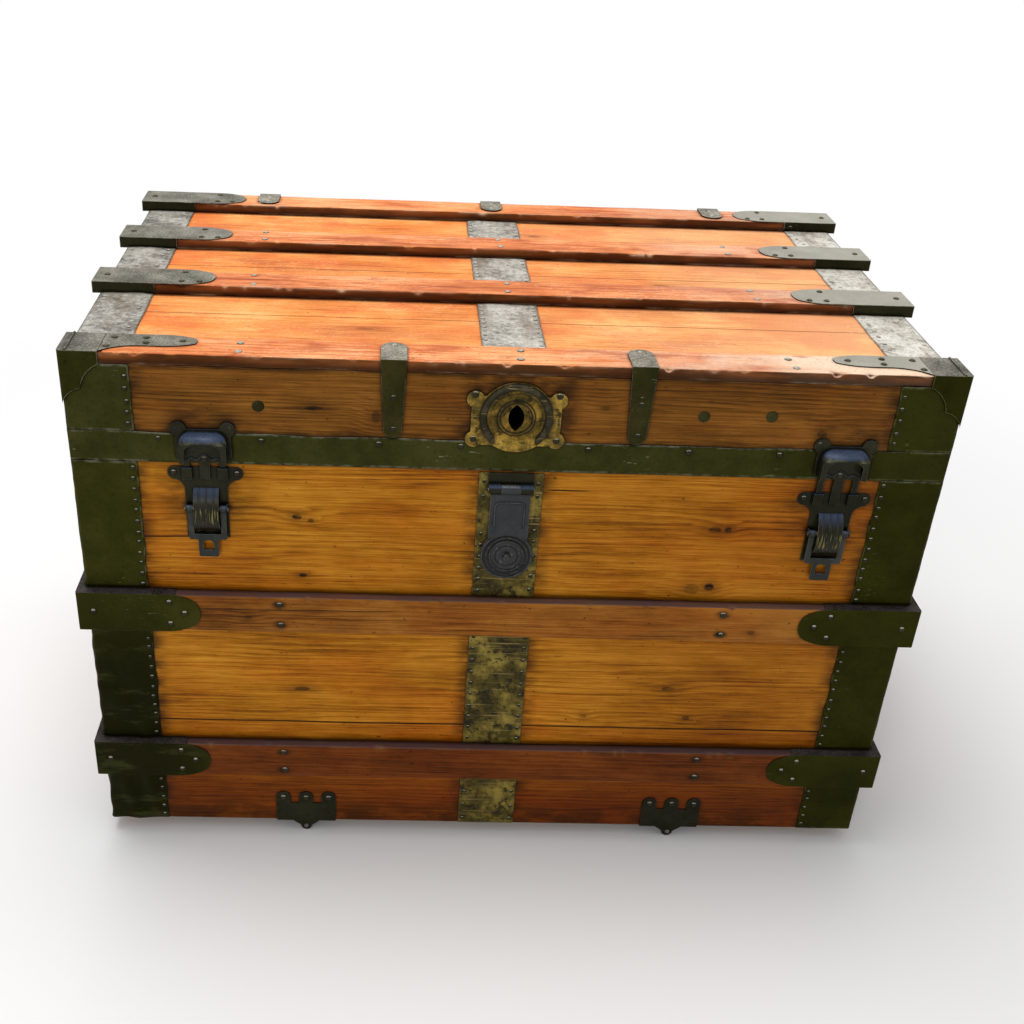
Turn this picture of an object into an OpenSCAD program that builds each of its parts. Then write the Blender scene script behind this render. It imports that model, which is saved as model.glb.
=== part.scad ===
// Flat-top trunk: a boarded case on four small rollers, with wooden slats held by
// steel clamps, a hinged lid, two flip-up latches, a hasp lock and end handles.
// X runs along the width, Y from front to back, Z up. The origin is on the floor,
// under the middle of the case, and the front faces -Y.

/* [Case] */
// Width of the boarded case, end to end
case_w = 864; // [780:2:1000]
// Depth of the boarded case, front to back
case_d = 540; // [480:2:600]
// Height of the boarded case, without the lid
case_h = 462; // [420:2:560]
// Thickness of every board of the case and the lid
board_t = 11; // [9:0.5:14]

/* [Lid] */
// Height of the lid from the seam to the top of its boards
lid_h = 101; // [98:1:150]
// Width of each slat on the lid
lid_slat_w = 45; // [36:1:50]
// Thickness of the slats on the lid
lid_slat_t = 12; // [9:0.5:16]
// How far the slats reach past the ends of the lid
lid_slat_over = 8.2; // [4:0.2:12]
// Distance of the second slat from the front face
slat_2_in = 192; // [170:1:205]
// Distance of the third slat from the front face
slat_3_in = 347; // [325:1:365]
// Height of the steel band along the lid's lower edge
band_h = 33; // [26:1:40]

/* [Case slats] */
// Height of the slats round the case
case_slat_h = 44; // [34:1:50]
// Thickness of the slats on the front and the back
front_slat_t = 12.7; // [10:0.1:16]
// Thickness of the slats on the two ends
end_slat_t = 8.2; // [6:0.2:12]
// Height of the lower slat above the case's underside
low_slat_up = 75; // [56:1:84]
// Distance of the middle slat's upper edge below the seam
mid_slat_drop = 147; // [144:0.5:180]

/* [Sheet metal] */
// Thickness of the corner bindings, bands and plates
sheet_t = 0.8; // [0.6:0.1:1.2]
// Thickness of the clamps on the slats
clamp_t = 0.8; // [0.6:0.1:1.4]
// Width of the corner bindings on the case and the lid
binding_w = 64; // [50:1:80]
// Width of the end sheets on the top of the lid
end_sheet_w = 56; // [44:1:70]
// Width of the plates down the middle of the lid and the case
centre_w = 64; // [50:1:76]
// Length of a clamp along its slat
clamp_len = 127; // [100:1:136]
// Length of a clamp round the corner, on the end of the case
clamp_end_len = 84; // [60:1:110]
// Length of the clamp's curved tip
clamp_tip = 34; // [24:1:44]
// Length of the flanges that a clamp on the lid turns down over its slat
clamp_flange_len = 66; // [40:1:80]

/* [Corner caps] */
// Thickness of the front corner caps of the lid
cap_t = 1.2; // [0.8:0.1:2]
// Reach of a cap along the slat, from its outer corner
cap_w = 38; // [28:1:44]
// Drop of a cap's corner below the top of the boards
cap_drop = 43; // [34:1:52]
// Depth of the two scallops in the cap's edge
cap_scallop = 4; // [2:0.5:6]

/* [Straps] */
// Distance of the two front straps from the middle
strap_x = 119; // [100:1:150]
// Width of a front strap where it bends over the edge
strap_w = 25; // [20:1:30]
// Width of a front strap at its lower end
strap_end_w = 18; // [14:1:24]
// Distance of a front strap's upper end from the back edge of the slat
strap_short = 2; // [1:1:20]
// Thickness of the front straps
strap_t = 1.2; // [0.8:0.1:2]

/* [Hinges] */
// Distance of the outer hinges from the ends of the case
hinge_in = 148; // [140:1:200]
// Width of a hinge
hinge_w = 36; // [30:1:50]
// Thickness of the hinge straps and leaves
hinge_t = 1.6; // [1.2:0.1:2.5]
// Radius of the hinge pins
hinge_pin_r = 2.5; // [2:0.1:3.5]
// Length of the hinge leaves below the seam
hinge_leaf = 62; // [40:1:90]

/* [Latches] */
// Distance of the left latch from the end of the case
latch_left_in = 130; // [112:1:150]
// Distance of the right latch from the end of the case
latch_right_in = 106; // [102:1:144]
// How much lower the right latch sits on the case
right_latch_drop = 11; // [0:0.5:12]
// Width of the latch lever
lever_w = 38; // [34:1:42]
// Thickness of the latch lever
lever_t = 2; // [1.5:0.1:3]
// Length of the lever from its pivot to the end of its tab
lever_len = 55; // [54:0.5:60]
// Radius of the latch pins
latch_pin_r = 2; // [1.5:0.1:2.5]
// Width of the latch spring
spring_w = 25; // [18:1:26]
// Rise of the bowed latch spring above its plate
spring_rise = 11; // [10:0.5:12]
// Width of the hood on the lid
hood_w = 46; // [40:1:52]
// Depth of the hood in front of its plate
hood_depth = 10.6; // [9.5:0.1:11.5]

/* [Lock] */
// Distance of the hasp's axis below the seam
hasp_drop = 18; // [15:0.5:20]
// Distance from the hasp's axis to the centre of its disc
hasp_len = 76; // [72:0.5:77]
// Radius of the hasp's disc
hasp_disc_r = 27; // [23:0.5:27.5]
// Thickness of the hasp
hasp_t = 2; // [1.5:0.1:2.5]
// Radius of the hasp's pin
hasp_pin_r = 2; // [1.5:0.1:2.5]
// Length of the hinge barrel across the hasp
barrel_w = 45; // [38:1:54]
// Half width of the lock's pointed hole
hole_half_w = 7.8; // [6:0.2:9]
// Half height of the lock's pointed hole
hole_half_h = 14; // [12:0.5:16]
// Radius of the stud on the hasp that enters the hole
stud_r = 3; // [2:0.5:4]
// Inner radius of the raised ring round the lock hole
ring_in_r = 28.4; // [28:0.2:30]
// Outer radius of the raised ring round the lock hole
ring_out_r = 35.5; // [34:0.5:37]

/* [Rollers] */
// Distance of the left rollers from the end of the case
roller_left_in = 223; // [100:1:240]
// Distance of the right rollers from the end of the case
roller_right_in = 216; // [100:1:240]
// Radius of the rollers
roller_r = 7; // [6:0.5:10]
// Length of the rollers
roller_len = 28; // [20:1:40]
// Radius of the roller pins
roller_pin_r = 2.5; // [2:0.1:3]
// Thickness of the roller brackets
roller_plate_t = 1.2; // [1:0.1:2]

/* [Handles] */
// Distance between the two pins of an end handle
handle_w = 150; // [120:1:200]
// Distance of the handle's pins below the seam
handle_drop = 62; // [50:1:72]
// Height of the leather handle from its pins to its lower edge
handle_h = 58; // [50:1:66]
// Width of the leather in the handle's grip
grip_w = 24; // [18:1:28]
// Thickness of the leather handle
grip_t = 7; // [5:0.5:9]
// Radius of the handle's pins
handle_pin_r = 2.5; // [2:0.1:3]

/* [Hidden] */
$fn = 96;

// Clearances
pin_gap = 0.08;        // radial gap of a pin in the piece that turns on it
seat_gap = 0.04;       // radial gap of a pin in the piece that holds it
side_gap = 0.3;        // gap along a pin between fixed and moving knuckles
part_gap = 0.3;        // gap between facing pieces that move apart
slat_joint = 0.2;      // gap where an end slat meets the front and back ones
over = 1;              // how far a cutting body runs past the face it cuts

// Heights
roller_top_gap = 0.8;  // gap between a roller and the plate above it
underside = 2 * roller_r + roller_top_gap + roller_plate_t;
seam = underside + case_h;
lid_top_z = seam + lid_h;
slat_top_z = lid_top_z + lid_slat_t;
low_slat_z = underside + low_slat_up;
mid_slat_z = seam - mid_slat_drop - case_slat_h;
band_top = seam + band_h;
front_y = -case_d / 2;

// Places along the width
hinge_x = case_w / 2 - hinge_in;
latch_left_x = case_w / 2 - latch_left_in;
latch_right_x = case_w / 2 - latch_right_in;
roller_left_x = case_w / 2 - roller_left_in;
roller_right_x = case_w / 2 - roller_right_in;

// Slats on the lid: the y of each one's front edge
lid_slat_y = [front_y - sheet_t, front_y + slat_2_in, front_y + slat_3_in, -front_y - lid_slat_w];
lid_slat_end = [
    case_w / 2 + sheet_t, case_w / 2 + lid_slat_over, case_w / 2 + lid_slat_over, case_w / 2 + lid_slat_over
];

// Colours
pine = [0.78, 0.47, 0.20];
slat_brown = [0.48, 0.25, 0.12];
black_steel = [0.17, 0.18, 0.14];
grey_steel = [0.45, 0.46, 0.45];
old_brass = [0.52, 0.44, 0.22];
leather_brown = [0.30, 0.17, 0.09];

// A rectangle with true round corners, centred on the origin
module rounded_plan(w, d, r) {
    square([w - 2 * r, d], center = true);
    square([w, d - 2 * r], center = true);
    for (sx = [-1, 1], sy = [-1, 1]) {
        translate([sx * (w / 2 - r), sy * (d / 2 - r)]) circle(r);
    }
}

// An upright outline drawn in x and z, as a plate on the front face.
// It starts at the distance off from the face and is t thick.
module front_plate(x, z, off, t) {
    translate([x, front_y - off, z]) rotate([90, 0, 0]) linear_extrude(t) children();
}

// An outline drawn in distance from the front face and z, made w wide along x
module front_profile(x, z, w) {
    translate([x, front_y, z]) rotate([90, 0, -90]) linear_extrude(w, center = true) children();
}

// An upright outline drawn in y and z, as a plate on the right end
module end_plate(y, z, off, t) {
    translate([case_w / 2 + off, y, z]) rotate([90, 0, 90]) linear_extrude(t) children();
}

// What follows, moved from the front to the back, or from right to left
module at_back() mirror([0, 1, 0]) children();
module at_left() mirror([1, 0, 0]) children();

// The bend radius of a sheet that still covers the square edge under it
function bend_r(t) = 2.5 * t;

// A sheet all round the case, open at the top and the bottom
module ring_sheet(z, h) {
    translate([0, 0, z]) linear_extrude(h) difference() {
        rounded_plan(case_w + 2 * sheet_t, case_d + 2 * sheet_t, bend_r(sheet_t));
        square([case_w, case_d], center = true);
    }
}

// The four corners of what follows, w wide on each face
module corners_only(z, h, w) {
    intersection() {
        children();
        for (mx = [0, 1], my = [0, 1]) mirror([mx, 0, 0]) mirror([0, my, 0]) {
            translate([case_w / 2 - w, case_d / 2 - w, z]) cube([w + over, w + over, h]);
        }
    }
}

// A strip along +X whose sides curve in and are cut off by a blunt nose
tip_reach = 1.24;
nose_share = 0.95;

module spade(len, w, tip) {
    half = w / 2;
    reach = tip * tip_reach;
    side_r = (reach * reach + half * half) / w;
    nose = half * nose_share;
    translate([0, -half]) square([len - tip, w]);
    intersection() {
        translate([len - tip, side_r - half]) circle(side_r);
        translate([len - tip, half - side_r]) circle(side_r);
        union() {
            translate([len - tip - over, -half]) square([tip + over - nose, w]);
            translate([len - nose, 0]) circle(nose);
        }
    }
}

// A pointed oval, as two arcs that meet above and below
module pointed_oval(half_w, half_h) {
    r = (half_h * half_h + half_w * half_w) / (2 * half_w);
    intersection() {
        translate([r - half_w, 0]) circle(r);
        translate([half_w - r, 0]) circle(r);
    }
}

// Points of an arc from a to b that bulges to the left of the way by sag
function arc(a, b, sag, n = 10) =
    let (
        chord = norm(b - a),
        r = (chord * chord / 4 + sag * sag) / (2 * sag),
        mid = (a + b) / 2,
        side = [-(b - a)[1], (b - a)[0]] / chord,
        centre = mid - side * (r - sag),
        start = atan2((a - centre)[1], (a - centre)[0]),
        turn = 2 * asin(chord / (2 * r))
    )
    [for (i = [0 : n]) centre + r * [cos(start - turn * i / n), sin(start - turn * i / n)]];

// A nail head: a low cone with a flat top, standing on z = 0
module nail_head() cylinder(h = nail_h, r1 = nail_r, r2 = nail_r * 0.6, $fn = 24);
nail_r = 3.4;
nail_h = 1.3;

// Case boards: the ends stand between the front and the back, and the bottom lies inside all four
module wall_board() {
    translate([-case_w / 2, front_y, underside]) cube([case_w, board_t, case_h]);
}

module case_front() color(pine) wall_board();

module case_back() color(pine) at_back() wall_board();

module end_board() {
    translate([case_w / 2 - board_t, front_y + board_t, underside]) {
        cube([board_t, case_d - 2 * board_t, case_h]);
    }
}

module case_right() color(pine) end_board();

module case_left() color(pine) at_left() end_board();

module case_bottom() color(pine) {
    translate([board_t - case_w / 2, front_y + board_t, underside]) {
        cube([case_w - 2 * board_t, case_d - 2 * board_t, board_t]);
    }
}

// The room that the slats and their clamps take on the faces of the case
module case_slat_room() {
    for (z = [low_slat_z, mid_slat_z]) {
        translate([-case_w, -case_d, z - clamp_t]) {
            cube([2 * case_w, 2 * case_d, case_slat_h + 2 * clamp_t]);
        }
    }
}

// Sheet steel bent round the four upright corners, in the lengths between the slats
module case_bindings() color(black_steel) difference() {
    corners_only(underside, case_h, binding_w) ring_sheet(underside, case_h);
    case_slat_room();
}

// One round of slats: the front and back ones run past the ends of the end ones
module slat_round(z) {
    for (my = [0, 1]) mirror([0, my, 0]) {
        translate([-case_w / 2 - end_slat_t, front_y - front_slat_t, z]) {
            cube([case_w + 2 * end_slat_t, front_slat_t, case_slat_h]);
        }
    }
    for (mx = [0, 1]) mirror([mx, 0, 0]) {
        translate([case_w / 2, front_y + slat_joint, z]) cube([end_slat_t, case_d - 2 * slat_joint, case_slat_h]);
    }
}

module mid_slats() color(slat_brown) slat_round(mid_slat_z);

module low_slats() color(slat_brown) slat_round(low_slat_z);

// A steel channel that fits over a whole round of slats, before it is cut to its corners
module slat_channel(z) {
    difference() {
        translate([0, 0, z - clamp_t]) linear_extrude(case_slat_h + 2 * clamp_t) {
            rounded_plan(
                case_w + 2 * (end_slat_t + clamp_t), case_d + 2 * (front_slat_t + clamp_t), bend_r(clamp_t)
            );
        }
        translate([0, 0, z]) linear_extrude(case_slat_h) {
            square([case_w + 2 * end_slat_t, case_d + 2 * front_slat_t], center = true);
        }
        translate([0, 0, z - 2 * clamp_t]) linear_extrude(case_slat_h + 4 * clamp_t) {
            square([case_w, case_d], center = true);
        }
    }
}

// Corner clamps: the channel cut to two arms at each corner
corner_nail_in = 16;
module corner_clamps(z) {
    outline_w = case_slat_h + 2 * clamp_t;
    intersection() {
        slat_channel(z);
        for (mx = [0, 1], my = [0, 1]) mirror([mx, 0, 0]) mirror([0, my, 0]) {
            front_plate(case_w / 2 + end_slat_t + clamp_t + over, z + case_slat_h / 2, 0, 2 * front_slat_t) {
                mirror([1, 0]) spade(clamp_len + over, outline_w, clamp_tip);
            }
            end_plate(front_y - front_slat_t - over, z + case_slat_h / 2, 0, 2 * end_slat_t) {
                spade(clamp_end_len + over, outline_w, clamp_tip);
            }
        }
    }
}

module mid_slat_clamps() color(black_steel) corner_clamps(mid_slat_z);

module low_slat_clamps() color(black_steel) corner_clamps(low_slat_z);

// Nails on the arms of the corner clamps: three near the tip and one near the corner
module clamp_arm_nails(len) {
    near_tip = len - clamp_tip * 0.5;
    behind_tip = len - clamp_tip * 0.95;
    for (at = [[near_tip, 0], [behind_tip, case_slat_h * 0.3], [behind_tip, -case_slat_h * 0.3], [corner_nail_in, 0]]) {
        translate([at[0], at[1], 0]) nail_head();
    }
}

module case_clamp_nails() color(grey_steel) {
    for (z = [low_slat_z, mid_slat_z], mx = [0, 1], my = [0, 1]) mirror([mx, 0, 0]) mirror([0, my, 0]) {
        translate([case_w / 2 + end_slat_t, front_y - front_slat_t - clamp_t, z + case_slat_h / 2]) {
            rotate([90, 0, 0]) mirror([1, 0, 0]) clamp_arm_nails(clamp_len);
        }
        translate([case_w / 2 + end_slat_t + clamp_t, front_y - front_slat_t, z + case_slat_h / 2]) {
            rotate([90, 0, 90]) clamp_arm_nails(clamp_end_len);
        }
    }
}

// Plates down the middle of the front and the back, between the slats and below them
module centre_strip(z_low, z_high) {
    for (my = [0, 1]) mirror([0, my, 0]) {
        front_plate(0, z_low, 0, sheet_t) translate([-centre_w / 2, 0]) square([centre_w, z_high - z_low]);
    }
}

module centre_plates() color(old_brass) {
    centre_strip(underside, low_slat_z);
    centre_strip(low_slat_z + case_slat_h, mid_slat_z);
}

// The plate behind the hasp, from the middle slat to just under the seam
lock_plate_gap = 2;
module lock_plate() color(old_brass) {
    z = mid_slat_z + case_slat_h;
    front_plate(0, z, 0, sheet_t) {
        translate([-centre_w / 2, 0]) square([centre_w, seam - lock_plate_gap - z]);
    }
}

// Lock hinge: a leaf on the lock plate with a barrel at each side of the hasp's own
barrel_r = 4.5;
hasp_axis_out = sheet_t + barrel_r + 0.2;
hasp_axis_z = seam - hasp_drop;
hasp_knuckle_w = barrel_w * 0.42;
leaf_t = 1.2;

module lock_hinge() color(black_steel) {
    leaf_h = hasp_drop - lock_plate_gap;
    difference() {
        union() {
            front_plate(0, hasp_axis_z, sheet_t, leaf_t) {
                translate([-barrel_w / 2, barrel_r + part_gap]) square([barrel_w, leaf_h - barrel_r - part_gap]);
            }
            for (mx = [0, 1]) mirror([mx, 0, 0]) {
                front_profile((barrel_w + hasp_knuckle_w) / 4 + side_gap / 2, hasp_axis_z, lock_ear_w) {
                    translate([hasp_axis_out, 0]) circle(barrel_r);
                    translate([sheet_t, 0]) square([leaf_t, leaf_h]);
                    translate([sheet_t, 0]) square([hasp_axis_out - sheet_t, barrel_r]);
                }
            }
        }
        translate([0, front_y - hasp_axis_out, hasp_axis_z]) rotate([0, 90, 0]) {
            cylinder(h = barrel_w + 2 * over, r = hasp_pin_r + seat_gap, center = true);
        }
    }
}
lock_ear_w = (barrel_w - hasp_knuckle_w) / 2 - side_gap;

// Latch plate on the case: a nailed bar with two pockets, a narrow foot and two pin ears.
// All its heights are measured from the axis of the lever.
latch_ears_w = 74;
latch_bar_h = 14;
pivot_drop = 48;
pivot_out = 6;
ear_w = 1.7;
ear_r = 3.5;
bar_up = pivot_drop - 4 - latch_bar_h;
bar_sweep = 12;
pocket_h = 13;
pocket_x = 17.5;
prong_w = 6;
prong_t = 1.5;
prong_side_gap = 0.6;
foot_drop = 35;

module latch_plate_outline() {
    foot_w = lever_w + 2 * side_gap + 2 * ear_w;
    translate([-foot_w / 2, -foot_drop]) square([foot_w, foot_drop + bar_up + latch_bar_h]);
    translate([-latch_ears_w / 2 + latch_bar_h / 2, bar_up]) square([latch_ears_w - latch_bar_h, latch_bar_h]);
    for (mx = [0, 1]) mirror([mx, 0]) {
        translate([(latch_ears_w - latch_bar_h) / 2, bar_up + latch_bar_h / 2]) circle(latch_bar_h / 2);
        difference() {
            translate([foot_w / 2 - over, bar_up - bar_sweep]) square([bar_sweep + over, bar_sweep + over]);
            translate([foot_w / 2 + bar_sweep, bar_up - bar_sweep]) circle(bar_sweep);
        }
    }
}

module pocket() {
    inner_w = prong_w + 2 * prong_side_gap;
    inner_out = sheet_t + part_gap + prong_t + prong_side_gap;
    translate([0, 0, bar_up + 1]) difference() {
        front_profile(0, 0, inner_w + 2 * leaf_t) {
            translate([sheet_t, 0]) square([inner_out + leaf_t - sheet_t, pocket_h - leaf_t]);
            translate([sheet_t, 0]) square([inner_out - sheet_t, pocket_h]);
            translate([inner_out, pocket_h - leaf_t]) circle(leaf_t);
        }
        front_profile(0, 0, inner_w) {
            translate([sheet_t, leaf_t]) square([inner_out - sheet_t, pocket_h]);
        }
    }
}

module latch_plate(x, drop) {
    translate([x, 0, seam - pivot_drop - drop]) {
        difference() {
            union() {
                front_plate(0, 0, 0, sheet_t) latch_plate_outline();
                for (sx = [-1, 1]) front_profile(sx * (lever_w / 2 + side_gap + ear_w / 2), 0, ear_w) {
                    translate([sheet_t, -ear_r]) square([pivot_out - sheet_t, 2 * ear_r]);
                    translate([pivot_out, 0]) circle(ear_r);
                }
            }
            translate([0, front_y - pivot_out, 0]) rotate([0, 90, 0]) {
                cylinder(h = 2 * lever_w, r = latch_pin_r + seat_gap, center = true);
            }
        }
        for (sx = [-1, 1]) translate([sx * pocket_x, 0, 0]) pocket();
    }
}

module latch_plate_left() color(black_steel) latch_plate(-latch_left_x, 0);

module latch_plate_right() color(black_steel) latch_plate(latch_right_x, right_latch_drop);

// Latch spring: a bowed strip with three flutes, sprung off its plate in front of the pin
spring_t = 0.8;
spring_half_h = 25.5;
spring_mid = -4.5;
flute_r = 0.9;

module latch_spring(x, drop) {
    r = (spring_half_h * spring_half_h + spring_rise * spring_rise) / (2 * spring_rise);
    half_turn = asin(spring_half_h / r);
    centre_out = sheet_t + spring_rise - r;
    difference() {
        translate([x, front_y - centre_out, seam - pivot_drop - drop + spring_mid]) {
            rotate([0, 90, 0]) rotate([0, 0, -90 - half_turn]) rotate_extrude(angle = 2 * half_turn) {
                translate([r - spring_t, -spring_w / 2]) square([spring_t, spring_w]);
                for (k = [-1, 0, 1]) translate([r - spring_t / 2, k * spring_w / 3.4]) circle(flute_r, $fn = 24);
            }
        }
        translate([x - spring_w, front_y - sheet_t, seam - pivot_drop - drop - 2 * spring_half_h]) {
            cube([2 * spring_w, 2 * r, 4 * spring_half_h]);
        }
    }
}

module latch_spring_left() color(grey_steel) latch_spring(-latch_left_x, 0);

module latch_spring_right() color(grey_steel) latch_spring(latch_right_x, right_latch_drop);

// Pins of the two latch levers and of the hasp
module cross_pin(x, out, z, r, len) {
    translate([x, front_y - out, z]) rotate([0, 90, 0]) cylinder(h = len, r = r, center = true);
}

module pivot_pins() color(grey_steel) {
    latch_pin_len = lever_w + 2 * side_gap + 2 * ear_w + 1;
    cross_pin(-latch_left_x, pivot_out, seam - pivot_drop, latch_pin_r, latch_pin_len);
    cross_pin(latch_right_x, pivot_out, seam - pivot_drop - right_latch_drop, latch_pin_r, latch_pin_len);
    cross_pin(0, hasp_axis_out, hasp_axis_z, hasp_pin_r, barrel_w + 1);
}

// Lid hinges on the back: two outer knuckles below and a middle one above, on one pin
knuckle_r = hinge_pin_r + 2.5;
hinge_out = knuckle_r + 0.2;
knuckle_w = hinge_w / 3;

module hinge_knuckle(x, w) {
    front_profile(x, seam, w) {
        translate([hinge_out, 0]) circle(knuckle_r);
    }
}

module hinge_bore() cross_pin(0, hinge_out, seam, hinge_pin_r + seat_gap, 2 * hinge_w);

module hinge_places() for (x = [-hinge_x, 0, hinge_x]) translate([x, 0, 0]) children();

module hinge_leaves() color(black_steel) at_back() hinge_places() difference() {
    union() {
        front_plate(0, seam - hinge_leaf, 0, hinge_t) {
            translate([-hinge_w / 2, 0]) square([hinge_w, hinge_leaf - knuckle_r - part_gap]);
        }
        for (sx = [-1, 1]) {
            hinge_knuckle(sx * knuckle_w, knuckle_w - side_gap);
            front_profile(sx * knuckle_w, seam, knuckle_w - side_gap) {
                translate([0, -knuckle_r - part_gap - over]) square([hinge_t, knuckle_r + part_gap + over]);
                translate([0, -knuckle_r]) square([hinge_out, knuckle_r]);
            }
        }
    }
    hinge_bore();
}

module hinge_pins() color(grey_steel) at_back() hinge_places() {
    cross_pin(0, hinge_out, seam, hinge_pin_r, hinge_w + 2);
}

// Rollers: a bracket with three lobes up the face, a plate under the case and two cheeks
bracket_w = 68;
bracket_rise = 25;
lobe_r = 8;
lobe_at = bracket_w / 2 - lobe_r;
lobe_up = 34;
cheek_r = roller_r - 1.5;
cheek_root_w = 34;
bracket_depth = roller_len + 2 * side_gap + roller_plate_t + 8;
roller_y = front_y + side_gap + roller_len / 2;

module cheek_outline() {
    polygon([
        [-cheek_root_w / 2, underside], [0.5 - cheek_r, roller_r], [cheek_r - 0.5, roller_r],
        [cheek_root_w / 2, underside]
    ]);
    translate([0, roller_r]) circle(cheek_r);
}

module roller_bracket(x) {
    difference() {
        union() {
            front_plate(x, 0, 0, roller_plate_t) {
                translate([-bracket_w / 2, underside - roller_plate_t]) {
                    square([bracket_w, bracket_rise + roller_plate_t]);
                }
                for (k = [-1, 0, 1]) translate([k * lobe_at, underside]) {
                    translate([0, lobe_up]) circle(lobe_r);
                    translate([-lobe_r, 0]) square([2 * lobe_r, lobe_up]);
                }
                cheek_outline();
            }
            translate([x - bracket_w / 2, front_y, underside - roller_plate_t]) {
                cube([bracket_w, bracket_depth, roller_plate_t]);
            }
            front_plate(x, 0, -(roller_len + 2 * side_gap + roller_plate_t), roller_plate_t) cheek_outline();
        }
        roller_axle(x, roller_pin_r + seat_gap, 2 * bracket_depth);
    }
}

module roller_axle(x, r, len) {
    translate([x, roller_y, roller_r]) rotate([90, 0, 0]) cylinder(h = len, r = r, center = true);
}

module roller(x) {
    difference() {
        roller_axle(x, roller_r, roller_len);
        roller_axle(x, roller_pin_r + pin_gap, 2 * roller_len);
    }
}

module roller_bracket_front_left() color(black_steel) roller_bracket(-roller_left_x);
module roller_bracket_front_right() color(black_steel) roller_bracket(roller_right_x);
module roller_bracket_back_left() color(black_steel) at_back() roller_bracket(-roller_left_x);
module roller_bracket_back_right() color(black_steel) at_back() roller_bracket(roller_right_x);

module roller_pins() color(grey_steel) {
    for (my = [0, 1], x = [-roller_left_x, roller_right_x]) mirror([0, my, 0]) {
        roller_axle(x, roller_pin_r, roller_len + 2 * (side_gap + roller_plate_t + 0.6));
    }
}

module roller_front_left() color(grey_steel) roller(-roller_left_x);
module roller_front_right() color(grey_steel) roller(roller_right_x);
module roller_back_left() color(grey_steel) at_back() roller(-roller_left_x);
module roller_back_right() color(grey_steel) at_back() roller(roller_right_x);

// End handles: leather hung from a pin in a two-eared bracket at each end
handle_eye_r = handle_pin_r + 3;
handle_eye_w = 12;
handle_plate_t = 1.5;
handle_plate_w = 34;
handle_out = handle_plate_t + handle_eye_r + part_gap;
handle_z = seam - handle_drop;

module handle_axle(y, r, len) {
    translate([case_w / 2 + handle_out, y, handle_z]) rotate([90, 0, 0]) cylinder(h = len, r = r, center = true);
}

module handle_bracket(y) {
    ear_at = handle_eye_w / 2 + side_gap;
    difference() {
        union() {
            end_plate(y, handle_z, 0, handle_plate_t) rounded_plan(handle_plate_w, handle_plate_w, 6);
            for (s = [-1, 1]) translate([0, s * (ear_at + handle_plate_t / 2) + handle_plate_t / 2, 0]) {
                handle_ear(y);
            }
        }
        handle_axle(y, handle_pin_r + seat_gap, 4 * handle_eye_w);
    }
    handle_axle(y, handle_pin_r, handle_eye_w + 2 * (side_gap + handle_plate_t));
}

module handle_ear(y) {
    translate([case_w / 2, y, handle_z]) rotate([90, 0, 0]) linear_extrude(handle_plate_t) {
        translate([0, -handle_eye_r]) square([handle_out, 2 * handle_eye_r]);
        translate([handle_out, 0]) circle(handle_eye_r);
    }
}

module handle_brackets() for (y = [-handle_w / 2, handle_w / 2]) handle_bracket(y);

module handle_brackets_right() color(black_steel) handle_brackets();
module handle_brackets_left() color(black_steel) at_left() handle_brackets();

// The leather: two arms down from the pins and a wide grip between them
module handle() {
    outer_w = handle_w + handle_eye_w;
    inner_w = handle_w - handle_eye_w;
    outer_r = grip_w * 0.8;
    inner_r = grip_w * 0.4;
    difference() {
        union() {
            end_plate(0, handle_z, handle_out - grip_t / 2, grip_t) difference() {
                union() {
                    translate([-outer_w / 2, outer_r - handle_h]) square([outer_w, handle_h - outer_r]);
                    translate([outer_r - outer_w / 2, -handle_h]) square([outer_w - 2 * outer_r, handle_h]);
                    for (s = [-1, 1]) translate([s * (outer_w / 2 - outer_r), outer_r - handle_h]) circle(outer_r);
                }
                translate([0, grip_w - handle_h]) {
                    translate([-inner_w / 2, inner_r]) square([inner_w, handle_h]);
                    translate([inner_r - inner_w / 2, 0]) square([inner_w - 2 * inner_r, handle_h]);
                    for (s = [-1, 1]) translate([s * (inner_w / 2 - inner_r), inner_r]) circle(inner_r);
                }
            }
            for (y = [-handle_w / 2, handle_w / 2]) handle_axle(y, handle_eye_r, handle_eye_w);
        }
        for (y = [-handle_w / 2, handle_w / 2]) handle_axle(y, handle_pin_r + pin_gap, 2 * handle_eye_w);
    }
}

module handle_right() color(leather_brown) handle();
module handle_left() color(leather_brown) at_left() handle();

// Lid boards: the rails are as high as the lid, and the top lies inside all four
module lid_rail() {
    translate([-case_w / 2, front_y, seam]) cube([case_w, board_t, lid_h]);
}

module lid_end_rail() {
    translate([case_w / 2 - board_t, front_y + board_t, seam]) {
        cube([board_t, case_d - 2 * board_t, lid_h]);
    }
}

module lid_top() color(pine) {
    translate([board_t - case_w / 2, front_y + board_t, lid_top_z - board_t]) {
        cube([case_w - 2 * board_t, case_d - 2 * board_t, board_t]);
    }
}

module lid_front() color(pine) difference() {
    lid_rail();
    stud_hole();
}

module lid_back() color(pine) at_back() lid_rail();
module lid_right() color(pine) lid_end_rail();
module lid_left() color(pine) at_left() lid_end_rail();

// Steel band round the lid's lower edge, with room for the hinges at the back
module lid_band() color(black_steel) difference() {
    ring_sheet(seam, band_h);
    at_back() hinge_places() {
        translate([-hinge_w / 2 - part_gap, front_y - 2 * over, seam - over]) {
            cube([hinge_w + 2 * part_gap, 2 * over + sheet_t, band_h + 2 * over]);
        }
    }
}

module lid_bindings() color(black_steel) {
    corners_only(band_top, lid_top_z - band_top, binding_w) ring_sheet(band_top, lid_top_z - band_top);
}

// Sheets on the boards of the top, in the gaps between the slats
module top_sheet(x, w, side_room) {
    for (i = [0 : 2]) {
        y = lid_slat_y[i] + lid_slat_w + side_room;
        translate([x, y, lid_top_z]) cube([w, lid_slat_y[i + 1] - side_room - y, sheet_t]);
    }
}

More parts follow.
